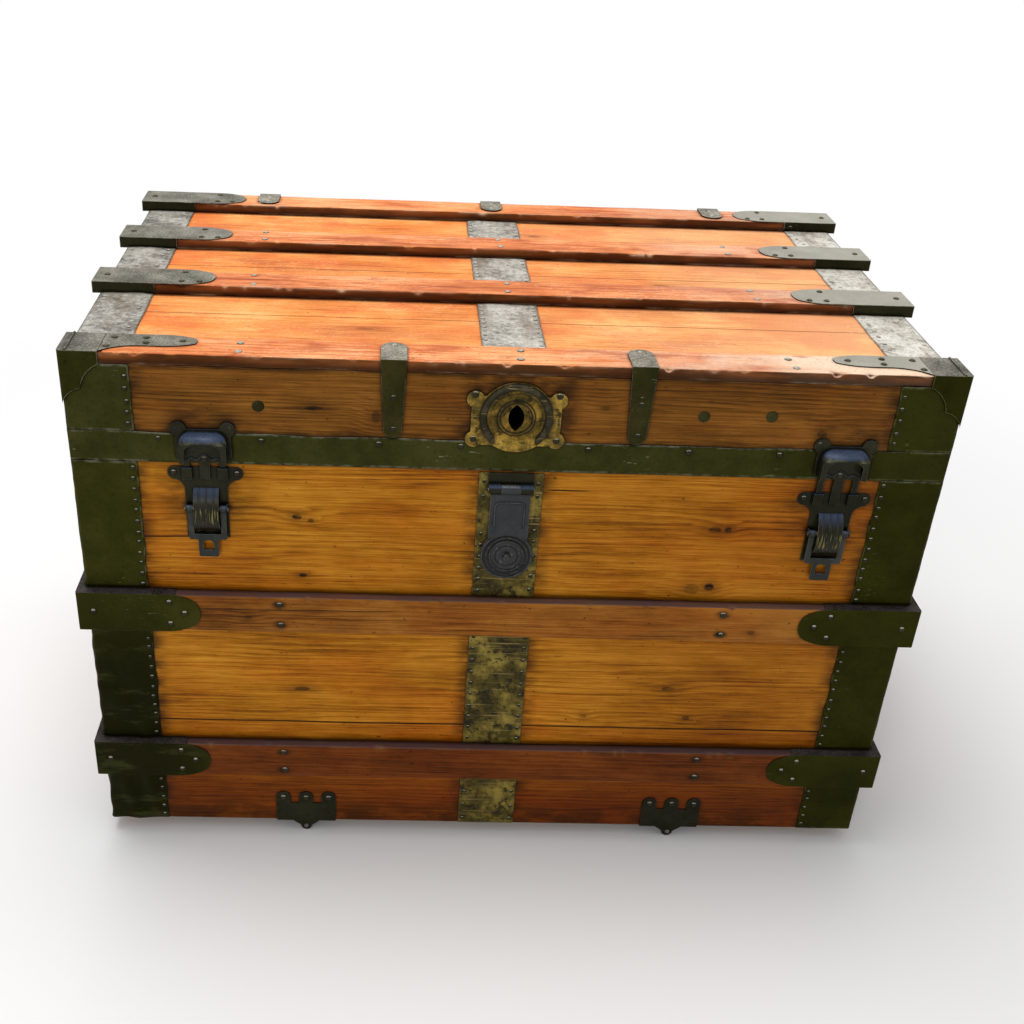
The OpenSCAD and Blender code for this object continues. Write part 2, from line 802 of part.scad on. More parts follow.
module lid_end_sheets() color(grey_steel) {
    for (mx = [0, 1]) mirror([mx, 0, 0]) top_sheet(case_w / 2 - end_sheet_w, end_sheet_w, clamp_t);
}

module lid_centre_sheets() color(grey_steel) top_sheet(-centre_w / 2, centre_w, 0);

// The four slats across the top; the first one ends flush with the lid's corner bindings
module lid_slat(i) {
    translate([-lid_slat_end[i], lid_slat_y[i], lid_top_z]) cube([2 * lid_slat_end[i], lid_slat_w, lid_slat_t]);
}

module lid_slat_1() color(slat_brown) lid_slat(0);
module lid_slat_2() color(slat_brown) lid_slat(1);
module lid_slat_3() color(slat_brown) lid_slat(2);
module lid_slat_4() color(slat_brown) lid_slat(3);

// A clamp over a slat's end: a top sheet with a blunt tip, a flange down each side
// and a plate over the end of the slat
module lid_clamp(i, x_out, len, end_t) {
    w = lid_slat_w + 2 * clamp_t;
    translate([x_out + end_t, lid_slat_y[i] - clamp_t, lid_top_z]) mirror([1, 0, 0]) {
        translate([0, w / 2, lid_slat_t]) linear_extrude(clamp_t) spade(len + end_t, w, clamp_tip);
        for (y = [0, w - clamp_t]) translate([0, y, 0]) cube([clamp_flange_len, clamp_t, lid_slat_t]);
        cube([end_t, w, lid_slat_t]);
    }
}

cap_inner_x = lid_slat_end[0] + cap_t - cap_w;
first_clamp_len = cap_inner_x - (case_w / 2 + lid_slat_over - clamp_len) + 6;

module lid_slat_clamps() color(grey_steel) for (mx = [0, 1]) mirror([mx, 0, 0]) {
    first_clamp();
    for (i = [1 : 3]) lid_clamp(i, lid_slat_end[i], clamp_len, clamp_t);
}

// The clamp of the first slat runs from the cap as a finger along the slat's back edge;
// its front edge comes in from the slat's own in one sweep
finger_share = 0.62;
sweep_root = 1.5;
finger_sweep = 36;

module first_clamp() {
    w = lid_slat_w + clamp_t;
    finger_w = w * finger_share;
    step = w - finger_w - sweep_root;
    sweep_r = (finger_sweep * finger_sweep + step * step) / (2 * step);
    translate([cap_inner_x, lid_slat_y[0] + w, lid_top_z]) mirror([1, 0, 0]) mirror([0, 1, 0]) {
        translate([0, 0, lid_slat_t]) linear_extrude(clamp_t) {
            translate([0, finger_w / 2]) spade(first_clamp_len, finger_w, clamp_tip - 4);
            difference() {
                square([finger_sweep, w]);
                translate([finger_sweep, finger_w + sweep_r]) circle(sweep_r);
            }
        }
        cube([clamp_flange_len - cap_w, clamp_t, lid_slat_t]);
    }
}

// Front corner caps of the lid: a bent sheet whose lower edge runs up to the slat in two
// scallops on each face, with a bead across its top
module cap_outline() {
    top = cap_drop + lid_slat_t + cap_t;
    knee = [cap_w * 0.5, cap_drop * 0.42];
    polygon(concat(
        [[0, 0]],
        arc([0, 0], knee, cap_scallop),
        arc(knee, [cap_w, cap_drop], cap_scallop),
        [[cap_w, top], [0, top]]
    ));
}

bead_in = 8;

module cap() {
    out_x = lid_slat_end[0] + cap_t;
    out_y = sheet_t + cap_t;
    z_low = lid_top_z - cap_drop;
    height = cap_drop + lid_slat_t + cap_t;
    intersection() {
        union() {
            front_plate(out_x, z_low, sheet_t, cap_t) mirror([1, 0]) cap_outline();
            end_plate(front_y - out_y, z_low, sheet_t, cap_t) cap_outline();
            translate([out_x - cap_w, front_y - out_y, slat_top_z]) {
                cube([cap_w, lid_slat_w + cap_t, cap_t]);
            }
            translate([out_x - bead_in, front_y - sheet_t, slat_top_z + cap_t]) {
                rotate([-90, 0, 0]) cylinder(h = lid_slat_w, r = cap_t, $fn = 32);
            }
        }
        translate([0, 0, z_low - over]) linear_extrude(height + 4 * over) {
            rounded_plan(2 * out_x, case_d + 2 * out_y, bend_r(cap_t));
        }
    }
}

module cap_right() color(black_steel) cap();
module cap_left() color(black_steel) at_left() cap();

// Front straps: from the top of the first slat over the edge and down to the band
strap_top = lid_slat_w - strap_short;

module lid_straps() color(black_steel) for (x = [-strap_x, strap_x]) {
    end_r = strap_end_w / 2;
    top = slat_top_z + strap_t - band_top;
    front_plate(x, band_top, sheet_t, strap_t) {
        polygon([[-end_r, end_r], [end_r, end_r], [strap_w / 2, top], [-strap_w / 2, top]]);
        translate([0, end_r]) circle(end_r);
    }
    translate([x, front_y - sheet_t, slat_top_z]) linear_extrude(strap_t) {
        translate([-strap_w / 2, 0]) square([strap_w, strap_top - strap_w / 2]);
        translate([0, strap_top - strap_w / 2]) circle(strap_w / 2);
    }
}

// Upper hinge straps: up the back of the lid and over the last slat
hinge_strap_w = 26;
hinge_base_h = 30;
hinge_strap_top = 40;

module hinge_straps() color(black_steel) at_back() hinge_places() difference() {
    union() {
        front_plate(0, seam, 0, hinge_t) {
            translate([-hinge_w / 2, knuckle_r + part_gap]) square([hinge_w, hinge_base_h]);
            translate([-hinge_strap_w / 2, knuckle_r + part_gap]) {
                square([hinge_strap_w, lid_h + lid_slat_t + hinge_t - knuckle_r - part_gap]);
            }
        }
        translate([0, front_y, slat_top_z]) linear_extrude(hinge_t) {
            translate([-hinge_strap_w / 2, 0]) square([hinge_strap_w, hinge_strap_top - hinge_strap_w / 2]);
            translate([0, hinge_strap_top - hinge_strap_w / 2]) circle(hinge_strap_w / 2);
        }
        hinge_knuckle(0, knuckle_w - side_gap);
        front_profile(0, seam, knuckle_w - side_gap) {
            square([hinge_out, knuckle_r]);
            square([hinge_t, knuckle_r + part_gap + over]);
        }
    }
    hinge_bore();
}

// Latch hood on the lid: a nailed plate with a domed hood, two prongs and a tongue
hood_plate_t = part_gap + prong_t;
hood_plate_w = 54;
hood_plate_h = 35;
hood_plate_up = 2;
hood_ear_r = 7.5;
hood_ear_at = 23.7;
hood_up = 4;
hood_h = 31;
hood_r = 12;
hood_wall = 1.2;
mouth_rise = 4;
tongue_w = 10;

module hood_side(depth, h) {
    square([depth, h - depth]);
    intersection() {
        translate([0, h - depth]) circle(depth);
        translate([0, h - depth - over]) square([depth, depth + over]);
    }
}

module hood_form(w, depth, h, r) {
    intersection() {
        translate([0, -sheet_t - hood_plate_t, 0]) front_profile(0, 0, w) hood_side(depth, h);
        front_plate(0, 0, 0, 4 * hood_depth) {
            translate([-w / 2, -over]) square([w, h - r + over]);
            translate([r - w / 2, 0]) square([w - 2 * r, h]);
            for (s = [-1, 1]) translate([s * (w / 2 - r), h - r]) circle(r);
        }
    }
}

module latch_hood(x, drop) {
    prong_low = -pivot_drop - drop + bar_up + leaf_t + 3;
    mouth_r = (hood_w * hood_w / 4 + mouth_rise * mouth_rise) / (2 * mouth_rise);
    corner = 8;
    translate([x, 0, seam]) {
        front_plate(0, 0, sheet_t, hood_plate_t) translate([0, hood_plate_up + hood_plate_h / 2]) {
            rounded_plan(hood_plate_w, hood_plate_h, corner);
            for (s = [-1, 1]) translate([s * hood_ear_at, hood_plate_h / 2]) circle(hood_ear_r);
        }
        translate([0, 0, hood_up]) difference() {
            hood_form(hood_w, hood_depth, hood_h, hood_r);
            translate([0, 0, -over / 2]) {
                hood_form(hood_w - 2 * hood_wall, hood_depth - hood_wall, hood_h - hood_wall, hood_r - hood_wall);
            }
            front_plate(0, mouth_rise - mouth_r, sheet_t + hood_plate_t, 2 * hood_depth) circle(mouth_r);
        }
        front_plate(0, 0, sheet_t + part_gap, prong_t) {
            for (s = [-1, 1]) translate([s * pocket_x - prong_w / 2, prong_low]) {
                square([prong_w, hood_plate_up + corner - prong_low]);
            }
            translate([-tongue_w / 2, prong_low - 3]) square([tongue_w, hood_plate_up + corner + 3 - prong_low]);
        }
    }
}

module latch_hood_left() color(black_steel) latch_hood(-latch_left_x, 0);
module latch_hood_right() color(black_steel) latch_hood(latch_right_x, right_latch_drop);

// Escutcheon on the lid: a plate with a lobe at each corner and a round middle that rises
// inside the ring and runs down to the lower edge, a bezel and a pointed hole
plate_half_w = 48.5;
plate_h = 59;
plate_up = 26;
plate_lobe_r = 8.5;
lobe_inset = 5;
hole_up = hasp_len - hasp_drop;
surround_r = 25;
surround_t = 0.6;
bezel_r = 18;
bezel_h = 0.4;

module stud_hole() {
    front_plate(0, seam + hole_up, -board_t - over, board_t + 10) pointed_oval(hole_half_w, hole_half_h);
}

module escutcheon() color(old_brass) difference() {
    union() {
        front_plate(0, seam, sheet_t, leaf_t) {
            translate([-plate_half_w + lobe_inset, plate_up + lobe_inset / 2]) {
                square([2 * (plate_half_w - lobe_inset), plate_h - 1.5 * lobe_inset]);
            }
            for (sx = [-1, 1], z = [plate_lobe_r, plate_h - plate_lobe_r]) {
                translate([sx * (plate_half_w - plate_lobe_r), plate_up + z]) circle(plate_lobe_r);
            }
            translate([0, hole_up]) circle(ring_out_r + 1);
        }
        front_plate(0, seam, sheet_t + leaf_t, surround_t) {
            translate([0, hole_up]) circle(surround_r);
            translate([-ring_gap_half + 1, plate_up + lobe_inset]) {
                square([2 * ring_gap_half - 2, hole_up - plate_up - lobe_inset]);
            }
        }
        front_plate(0, seam + hole_up, sheet_t + leaf_t + surround_t, bezel_h) difference() {
            circle(bezel_r);
            circle(bezel_r - 1.5);
        }
    }
    stud_hole();
}

// The raised ring that the hasp's disc folds into, open below for the hasp's neck
neck_w = 40;
neck_room = 1;
ring_rise = 4;
ring_gap_half = neck_w / 2 + neck_room;

module lock_ring() color(old_brass) {
    half_w = (ring_out_r - ring_in_r) / 2;
    mid_r = (ring_out_r + ring_in_r) / 2;
    translate([0, front_y - sheet_t - leaf_t, seam + hole_up]) rotate([90, 0, 0]) difference() {
        rotate_extrude() {
            translate([ring_in_r, 0]) square([2 * half_w, ring_rise - half_w]);
            translate([mid_r, ring_rise - half_w]) circle(half_w);
        }
        translate([-ring_out_r, -ring_out_r, -2 * ring_rise]) {
            cube([2 * ring_out_r, 2 * ring_out_r, 2 * ring_rise]);
        }
        translate([-ring_gap_half, -2 * ring_out_r, -over]) {
            cube([2 * ring_gap_half, 2 * ring_out_r, 3 * ring_rise]);
        }
    }
}

// Rivets: three large domes on the front rail, and the nails of the clamps on the top
module dome(r, h) {
    big = (r * r + h * h) / (2 * h);
    rotate_extrude($fn = 48) intersection() {
        translate([0, h - big]) circle(big);
        square([r, h]);
    }
}

rivet_r = 6;
rivet_h = 2;
rivet_in_places = [[-184, 62], [250, 64], [184, 66]];

module lid_rivets() color(grey_steel) {
    for (p = rivet_in_places) translate([sign(p[0]) * case_w / 2 - p[0], front_y, seam + p[1]]) {
        rotate([90, 0, 0]) dome(rivet_r, rivet_h);
    }
    for (mx = [0, 1]) mirror([mx, 0, 0]) {
        translate([cap_inner_x, lid_slat_y[0], slat_top_z + clamp_t]) mirror([1, 0, 0]) {
            finger_nails();
        }
        for (i = [1 : 3]) translate([lid_slat_end[i], lid_slat_y[i], slat_top_z + clamp_t]) mirror([1, 0, 0]) {
            lid_clamp_nails(clamp_len);
        }
    }
}

end_nail_in = 12;

module lid_clamp_nails(len) {
    behind_tip = len - clamp_tip;
    edge = 8;
    for (at = [
        [len - clamp_tip * 0.45, edge],
        [behind_tip, edge],
        [behind_tip, lid_slat_w - edge],
        [end_nail_in, lid_slat_w / 2]
    ]) {
        translate([at[0], at[1], 0]) nail_head();
    }
}

module finger_nails() {
    mid = lid_slat_w * (1 - finger_share / 2);
    for (at = [
        [first_clamp_len - clamp_tip * 0.4, mid],
        [first_clamp_len * 0.45, mid + 6],
        [first_clamp_len * 0.47, mid - 7],
        [10, mid + 5],
        [6, lid_slat_w * 0.3]
    ]) {
        translate([at[0], at[1], 0]) nail_head();
    }
}

// Latch lever, hanging: two arms from the pin, a cross bar and a tab with an arched hole
lever_eye_r = 3.4;
arm_w = 5.4;
bar_at = 29;
bar_h = 6;
tab_w = 20;
tab_hole_r = 5.5;
tab_hole_up = 14;
tab_hole_leg = 6.5;

module lever(x, drop) {
    z = seam - pivot_drop - drop;
    difference() {
        union() {
            front_plate(x, z, pivot_out - lever_t / 2, lever_t) difference() {
                union() {
                    for (s = [-1, 1]) translate([s * (lever_w - arm_w) / 2 - arm_w / 2, -bar_at - bar_h / 2]) {
                        square([arm_w, bar_at + bar_h / 2]);
                    }
                    lever_foot();
                }
                translate([0, tab_hole_up - lever_len]) {
                    circle(tab_hole_r);
                    translate([-tab_hole_r, -tab_hole_leg]) square([2 * tab_hole_r, tab_hole_leg]);
                }
            }
            for (s = [-1, 1]) cross_pin(x + s * (lever_w - arm_w) / 2, pivot_out, z, lever_eye_r, arm_w);
        }
        cross_pin(x, pivot_out, z, latch_pin_r + pin_gap, 2 * lever_w);
    }
}

// The lever below its window: the cross bar, and a narrower tab with round corners
module lever_foot() {
    corner = 2;
    shoulder = bar_at + bar_h;
    translate([-lever_w / 2, corner - shoulder]) square([lever_w, bar_h - corner]);
    translate([corner - lever_w / 2, -shoulder]) square([lever_w - 2 * corner, corner + over]);
    for (s = [-1, 1]) translate([s * (lever_w / 2 - corner), corner - shoulder]) circle(corner);
    translate([-tab_w / 2, corner - lever_len]) square([tab_w, lever_len - shoulder + over]);
    translate([corner - tab_w / 2, -lever_len]) square([tab_w - 2 * corner, corner + over]);
    for (s = [-1, 1]) translate([s * (tab_w / 2 - corner), corner - lever_len]) circle(corner);
}

module lever_left() color(black_steel) lever(-latch_left_x, 0);
module lever_right() color(black_steel) lever(latch_right_x, right_latch_drop);

// Hasp, hanging: a barrel between the fixed ones, a neck and a disc with two raised rings.
// The stud on the disc enters the hole of the escutcheon when the hasp is up.
disc_rings = [[22.5, 21.3], [18.5, 17]];
disc_ring_h = 1;
stud_h = 5;
neck_root = 1;

module lock_hasp() color(black_steel) difference() {
    face = hasp_axis_out + hasp_t / 2;
    union() {
        front_profile(0, hasp_axis_z, hasp_knuckle_w) translate([hasp_axis_out, 0]) circle(barrel_r);
        front_plate(0, hasp_axis_z, hasp_axis_out - hasp_t / 2, hasp_t) {
            translate([-hasp_knuckle_w / 2, -hasp_len / 2]) square([hasp_knuckle_w, hasp_len / 2]);
            translate([-neck_w / 2, -hasp_len]) square([neck_w, hasp_len - barrel_r - neck_root]);
            translate([0, -hasp_len]) circle(hasp_disc_r);
        }
        front_plate(0, hasp_axis_z - hasp_len, face, disc_ring_h) for (ring = disc_rings) difference() {
            circle(ring[0]);
            circle(ring[1]);
        }
        front_plate(0, hasp_axis_z - hasp_len, face, stud_h) circle(stud_r);
    }
    cross_pin(0, hasp_axis_out, hasp_axis_z, hasp_pin_r + pin_gap, 2 * barrel_w);
}

case_front();
case_back();
case_left();
case_right();
case_bottom();
case_bindings();
mid_slats();
low_slats();
mid_slat_clamps();
low_slat_clamps();
centre_plates();
lock_plate();
lock_hinge();
latch_plate_left();
latch_plate_right();
latch_spring_left();
latch_spring_right();
pivot_pins();
hinge_leaves();
hinge_pins();
roller_bracket_front_left();
roller_bracket_front_right();
roller_bracket_back_left();
roller_bracket_back_right();
roller_pins();
handle_brackets_left();
handle_brackets_right();
case_clamp_nails();
lid_top();
lid_front();
lid_back();
lid_left();
lid_right();
lid_band();
lid_bindings();
lid_end_sheets();
lid_centre_sheets();
lid_slat_1();
lid_slat_2();
lid_slat_3();
lid_slat_4();
lid_slat_clamps();
cap_left();
cap_right();
lid_straps();
hinge_straps();
latch_hood_left();
latch_hood_right();
escutcheon();
lock_ring();
lid_rivets();
lever_left();
lever_right();
lock_hasp();
roller_front_left();
roller_front_right();
roller_back_left();
roller_back_right();
handle_left();
handle_right();
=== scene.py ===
"""A flat-top trunk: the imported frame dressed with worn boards, sheet steel, nails and leather."""

import bmesh
import bpy
import numpy as np
from mathutils import Matrix, Vector


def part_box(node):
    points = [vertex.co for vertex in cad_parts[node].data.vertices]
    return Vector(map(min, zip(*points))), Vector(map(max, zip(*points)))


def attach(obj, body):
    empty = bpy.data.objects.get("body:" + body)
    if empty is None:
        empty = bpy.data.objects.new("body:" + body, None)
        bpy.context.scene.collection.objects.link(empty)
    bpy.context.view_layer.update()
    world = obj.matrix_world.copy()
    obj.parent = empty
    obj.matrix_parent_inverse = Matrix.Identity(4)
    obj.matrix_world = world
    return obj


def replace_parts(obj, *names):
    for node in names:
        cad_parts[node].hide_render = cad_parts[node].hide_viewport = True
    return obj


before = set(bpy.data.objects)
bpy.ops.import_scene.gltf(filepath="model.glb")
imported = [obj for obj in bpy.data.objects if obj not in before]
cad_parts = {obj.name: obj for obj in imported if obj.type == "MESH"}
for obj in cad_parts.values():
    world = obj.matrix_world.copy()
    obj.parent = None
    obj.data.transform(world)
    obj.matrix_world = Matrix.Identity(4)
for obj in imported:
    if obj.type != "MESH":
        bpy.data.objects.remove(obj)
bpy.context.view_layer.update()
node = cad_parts

# The camera stands at chest height, a little left of the trunk's middle, and looks down at
# its front. Place, turn, focal length and shift were fitted to the corners in the photograph,
# whose width, focal length and point straight ahead are given in pixels.
eye = Vector((-0.1169, -1.4106, 1.0594))
forward = Vector((0.03388, 0.85238, -0.52182)).normalized()
right = Vector((0.99914, -0.01649, 0.03794))
right = (right - forward * right.dot(forward)).normalized()
picture, focal, middle_x, middle_y = 1024, 1295.0, 435.2, 569.9
lens = bpy.data.cameras.new("camera")
lens.sensor_width = 36.0
lens.lens = lens.sensor_width * focal / picture
lens.shift_x = (picture / 2 - middle_x) / picture
lens.shift_y = (middle_y - picture / 2) / picture
lens.clip_start = 0.01
camera = bpy.data.objects.new("camera", lens)
bpy.context.scene.collection.objects.link(camera)
camera.matrix_world = Matrix.Translation(eye) @ Matrix(
    (right, right.cross(forward), -forward)).transposed().to_4x4()
bpy.context.scene.camera = camera


# The case boards: wide pine planks laid level and oiled to amber, with knots, dark growth
# lines and black stains beside the steel. Finish holds the node work of every material.
class Finish:
    """One material: helper calls that add shader nodes in front of its Principled shader."""

    def __init__(self, name):
        self.material = bpy.data.materials.new(name)
        self.material.use_nodes = True
        self.tree = self.material.node_tree
        self.shader = self.tree.nodes["Principled BSDF"]
        self.at = self.add("ShaderNodeTexCoord").outputs["Object"]
        self.x, self.y, self.z = self.add("ShaderNodeSeparateXYZ", {0: self.at}).outputs

    def put(self, socket, value):
        """Links a socket to another, or sets its plain value."""
        if isinstance(value, bpy.types.NodeSocket):
            self.tree.links.new(value, socket)
        elif socket.type == "RGBA" and len(value) == 3:
            socket.default_value = (*value, 1.0)
        else:
            socket.default_value = value

    def add(self, kind, inputs=None, **settings):
        """A new shader node with its inputs linked or set."""
        made = self.tree.nodes.new(kind)
        for key, value in settings.items():
            setattr(made, key, value)
        for key, value in (inputs or {}).items():
            self.put(made.inputs[key], value)
        return made

    def length(self, vector):
        """How long a vector is."""
        return self.add("ShaderNodeVectorMath", {0: vector}, operation="LENGTH").outputs["Value"]

    def math(self, operation, a, b=0.0, c=0.0):
        """One sum, product or other operation on one to three values."""
        return self.add("ShaderNodeMath", {0: a, 1: b, 2: c}, operation=operation).outputs[0]

    def times(self, *values):
        """The product of all the values."""
        total = values[0]
        for value in values[1:]:
            total = self.math("MULTIPLY", total, value)
        return total

    def most(self, *values):
        """The largest of the values."""
        total = values[0]
        for value in values[1:]:
            total = self.math("MAXIMUM", total, value)
        return total

    def apart(self, value, other):
        """How far apart two values are, without the sign."""
        return self.math("ABSOLUTE", self.math("SUBTRACT", value, other))

    def swing(self, value, gain, base=0.0):
        """base plus gain times how far value lies from one half."""
        return self.math("MULTIPLY_ADD", self.math("SUBTRACT", value, 0.5), gain, base)

    def step(self, value, low, high, out_low=0.0, out_high=1.0):
        """Smooth step: out_low at low and before, out_high at high and past it."""
        made = self.add("ShaderNodeMapRange", interpolation_type="SMOOTHSTEP")
        for key, v in enumerate((value, low, high, out_low, out_high)):
            self.put(made.inputs[key], v)
        return made.outputs[0]

    def place(self, vector, scale=(1, 1, 1), turn=(0, 0, 0), move=(0, 0, 0)):
        """The vector scaled, turned and moved, which sets a pattern's size and place."""
        made = self.add("ShaderNodeMapping", {"Vector": vector})
        made.inputs["Scale"].default_value = scale
        made.inputs["Rotation"].default_value = turn
        made.inputs["Location"].default_value = move
        return made.outputs[0]

    def far(self, centre, reach):
        """Distance from centre, in each axis as a share of reach; a reach of 0 leaves an axis out."""
        scale = tuple(1 / r if r else 0 for r in reach)
        return self.length(self.place(self.at, scale, move=tuple(-c * s for c, s in zip(centre, scale))))

    def noise(self, vector, scale=(1, 1, 1), detail=3.0, rough=0.55, move=(0, 0, 0), turn=(0, 0, 0)):
        """Cloudy noise around one half, with scale cells to a metre along each axis."""
        placed = self.place(vector, scale, turn, move)
        return self.add("ShaderNodeTexNoise", {"Vector": placed, "Scale": 1.0, "Detail": detail,
                                               "Roughness": rough}).outputs[0]

    def mix(self, factor, a, b, blend="MIX"):
        """Colour a with colour b laid over it as far as factor says."""
        made = self.add("ShaderNodeMix", data_type="RGBA", blend_type=blend)
        for key, v in ((0, factor), (6, a), (7, b)):
            self.put(made.inputs[key], v)
        return made.outputs[2]

    def ramp(self, value, *stops):
        """The colour at value between stops, each a place and a colour."""
        made = self.add("ShaderNodeValToRGB", {0: value})
        band = made.color_ramp
        while len(band.elements) < len(stops):
            band.elements.new(0.5)
        for element, (at, colour) in zip(band.elements, stops):
            element.position = at
            element.color = (*colour, 1.0)
        return made.outputs[0]

    def edge(self, radius):
        """(normal rounded over radius, 0 on flats to 1 on edges and corners)."""
        rounded = self.add("ShaderNodeBevel", {0: radius}, samples=6).outputs[0]
        true = self.add("ShaderNodeNewGeometry").outputs["True Normal"]
        both = self.add("ShaderNodeVectorMath", {0: rounded, 1: true}, operation="DOT_PRODUCT")
        return rounded, self.step(both.outputs["Value"], 1.0, 0.86)

    def crevice_dirt_and_shade(self, reach, full=0.6):
        """1 in corners and beside whatever stands up within reach, 0 in the open: a mask for dirt and painted
        shade.
        """
        open_sky = self.add("ShaderNodeAmbientOcclusion", {"Distance": reach}, samples=4).outputs["AO"]
        return self.step(open_sky, 0.975, full)

    def facing(self, axis, low=0.55, high=0.85):
        """1 where the face looks along the piece's own +X, +Y or +Z: axis 0, 1 or 2."""
        normal = self.add("ShaderNodeTexCoord").outputs["Normal"]
        return self.step(self.add("ShaderNodeSeparateXYZ", {0: normal}).outputs[axis], low, high)

    def finish(self, colour, roughness, height, depth, normal=None, metallic=0.0, coat=0.0, specular=0.5,
               tint=(1, 1, 1)):
        """Sends the worked-out looks to the shader. depth is the bump's full height in metres."""
        self.put(self.shader.inputs["Base Color"], colour)
        self.put(self.shader.inputs["Roughness"], roughness)
        self.put(self.shader.inputs["Metallic"], metallic)
        self.shader.inputs["Coat Weight"].default_value = coat
        self.shader.inputs["Coat Roughness"].default_value = 0.25
        self.shader.inputs["Specular IOR Level"].default_value = specular
        self.shader.inputs["Specular Tint"].default_value = (*tint, 1.0)
        bump = self.add("ShaderNodeBump", {"Strength": 1.0, "Distance": depth, "Height": height})
        if normal is not None:
            self.put(bump.inputs["Normal"], normal)
        self.put(self.shader.inputs["Normal"], bump.outputs[0])
        return self.material


def wear_on(material, *names):
    """Gives a material to the CAD nodes named."""
    for name in names:
        node[name].data.materials.clear()
        node[name].data.materials.append(material)


def darker(colour, share):
    return tuple(share * c for c in colour)


def paler(colour, times):
    return tuple(min(1, times * c) for c in colour)


def wood(name, along, across, tones, knots=(), stains_and_shade=None, pitch=0.006, blotch=0.5, depth=0.0004,
         seams=(), cracks=(), roughness=0.42, worn=(0.45, 0.25, 0.11), coat=0.1, wear=0.5, shade=None,
         contrast=1.0, rubbed=False):
    """Sawn wood. along and across name the axes of the board; tones are dark, middle and pale.
    Growth lines are a sawtooth of the distance across, a pitch apart, stretched by slow noise and
    pushed aside by the knots; fibres and clouds of tone lie over them. shade tints the result;
    stains, and on some pieces painted shade, blacken it. Seams run the whole length, cracks from
    start to end. Its edges are worn where the mesh turns, or where the piece says that it is
    rubbed; that pale edge colour is partly wear and partly a painted highlight on the arrises."""
    f = Finish(name)
    axis = {"X": f.x, "Y": f.y, "Z": f.z}
    third = ({"X", "Y", "Z"} - {along, across}).pop()
    u, v = axis[along], axis[across]
    p = f.add("ShaderNodeCombineXYZ", {0: u, 1: v, 2: axis[third]}).outputs[0]
    bands = f.noise(p, (0.9, 24, 24), 2)
    slow = f.noise(p, (1.8, 8, 8), 2)
    phase = f.swing(bands, 5.0, f.swing(slow, 6.0, f.math("DIVIDE", v, pitch)))
    spots = []
    for ku, kv, ru, rv, strength in knots:
        off = f.length(f.place(p, (1 / ru, 1 / rv, 0), move=(-ku / ru, -kv / rv, 0)))
        phase = f.math("ADD", phase, f.step(off, 5.0, 0.3, 0, 0.8 * rv / pitch))
        spots.append(f.most(f.step(off, 1.1, 0.5, 0, strength), f.step(off, 2.6, 0.7, 0, 0.40 * strength)))
    phase = f.swing(f.noise(p, (7, 110, 110), 3), 2.2, phase)
    saw = f.math("FRACT", phase)
    drawn = f.step(f.noise(p, (3, 30, 30), 2, move=(9, 4, 2)), 0.36, 0.66, 0.12, 1.0)
    line = f.times(f.step(saw, 0.30, 0.88), f.step(saw, 1.0, 0.93), drawn)
    streak = f.noise(p, (3.2, 230, 230), 5, 0.72)
    fibre = f.noise(p, (17, 900, 900), 4, 0.75)
    cloud = f.noise(p, (6, 14, 14), 6, 0.66)
    tone = f.math("MULTIPLY_ADD", line, -0.24 * contrast, f.swing(streak, 0.85 * contrast, 0.57))
    tone = f.swing(fibre, 1.25 * contrast, f.swing(cloud, 2.3 * blotch, tone))
    pores = f.step(f.noise(p, (34, 800, 800), 2, 0.5, move=(1, 6, 3)), 0.62, 0.74, 0, 0.22)
    tone = f.math("SUBTRACT", tone, pores)
    colour = f.ramp(tone, (0.08, tones[0]), (0.50, tones[1]), (0.88, tones[2]))
    ruddy = f.step(f.noise(p, (5, 16, 16), 4, 0.6, move=(4, 4, 8)), 0.46, 0.66, 0, 0.6)
    colour = f.mix(ruddy, colour, (0.98, 0.72, 0.45), "MULTIPLY")
    black = darker(tones[0], 0.10)
    nicks = f.step(f.noise(p, (130, 260, 260), 3, 0.6, move=(2, 8, 5)), 0.685, 0.715, 0, 0.75)
    colour = f.mix(nicks, colour, darker(tones[0], 0.3))
    if shade is not None:
        colour = shade(f, colour)
    if spots:
        ragged = f.times(f.most(*spots), f.step(f.noise(p, (70, 190, 190), 3), 0.25, 0.6, 0.6, 1))
        colour = f.mix(ragged, colour, black)
    # Stains, and on some pieces painted shade, blacken the wood here.
    if stains_and_shade is not None:
        colour = f.mix(stains_and_shade(f, p), colour, darker(tones[0], 0.22))
    gaps = []
    for place, width, *ends in seams + cracks:
        wavy = f.swing(f.noise(p, (5, 0, 0), 3, move=(place * 40, 0, 0)), 0.009 if ends else 0.004, v)
        gaps.append(f.step(f.apart(wavy, place), width, width * 0.3))
        if ends:
            start, end = ends
            gaps[-1] = f.times(gaps[-1], f.step(u, start, start + 0.008), f.step(u, end, end - 0.02))
    if gaps:
        gap = f.most(*gaps)
        colour = f.mix(f.times(gap, 0.92), colour, black)
    # Darker in corners and beside raised parts: partly dirt, partly painted shade.
    colour = f.mix(f.times(f.crevice_dirt_and_shade(0.006), 0.85), colour, black)
    normal, edge = f.edge(0.0012)
    if rubbed:
        normal, edge = None, f.add("ShaderNodeAttribute", attribute_name="rubbed").outputs["Fac"]
    # The pale worn colour on edges is partly wear, partly a painted highlight on the arrises.
    patch = f.step(f.noise(p, (18, 50, 50), 4, 0.65), 0.42, 0.62)
    colour = f.mix(f.times(edge, patch, wear), colour, worn)
    height = f.math("MULTIPLY_ADD", streak, 0.6, f.times(fibre, 0.4))
    height = f.math("MULTIPLY_ADD", line, -0.25, height)
    if gaps:
        height = f.math("MULTIPLY_ADD", gap, -2.4, height)
    gloss = f.step(cloud, 0.3, 0.75, roughness - 0.08, roughness + 0.14)
    return f.finish(colour, gloss, height, depth, normal, coat=coat, specular=0.085, tint=(1.0, 0.75, 0.25))


latch_left, latch_right = -0.302, 0.326


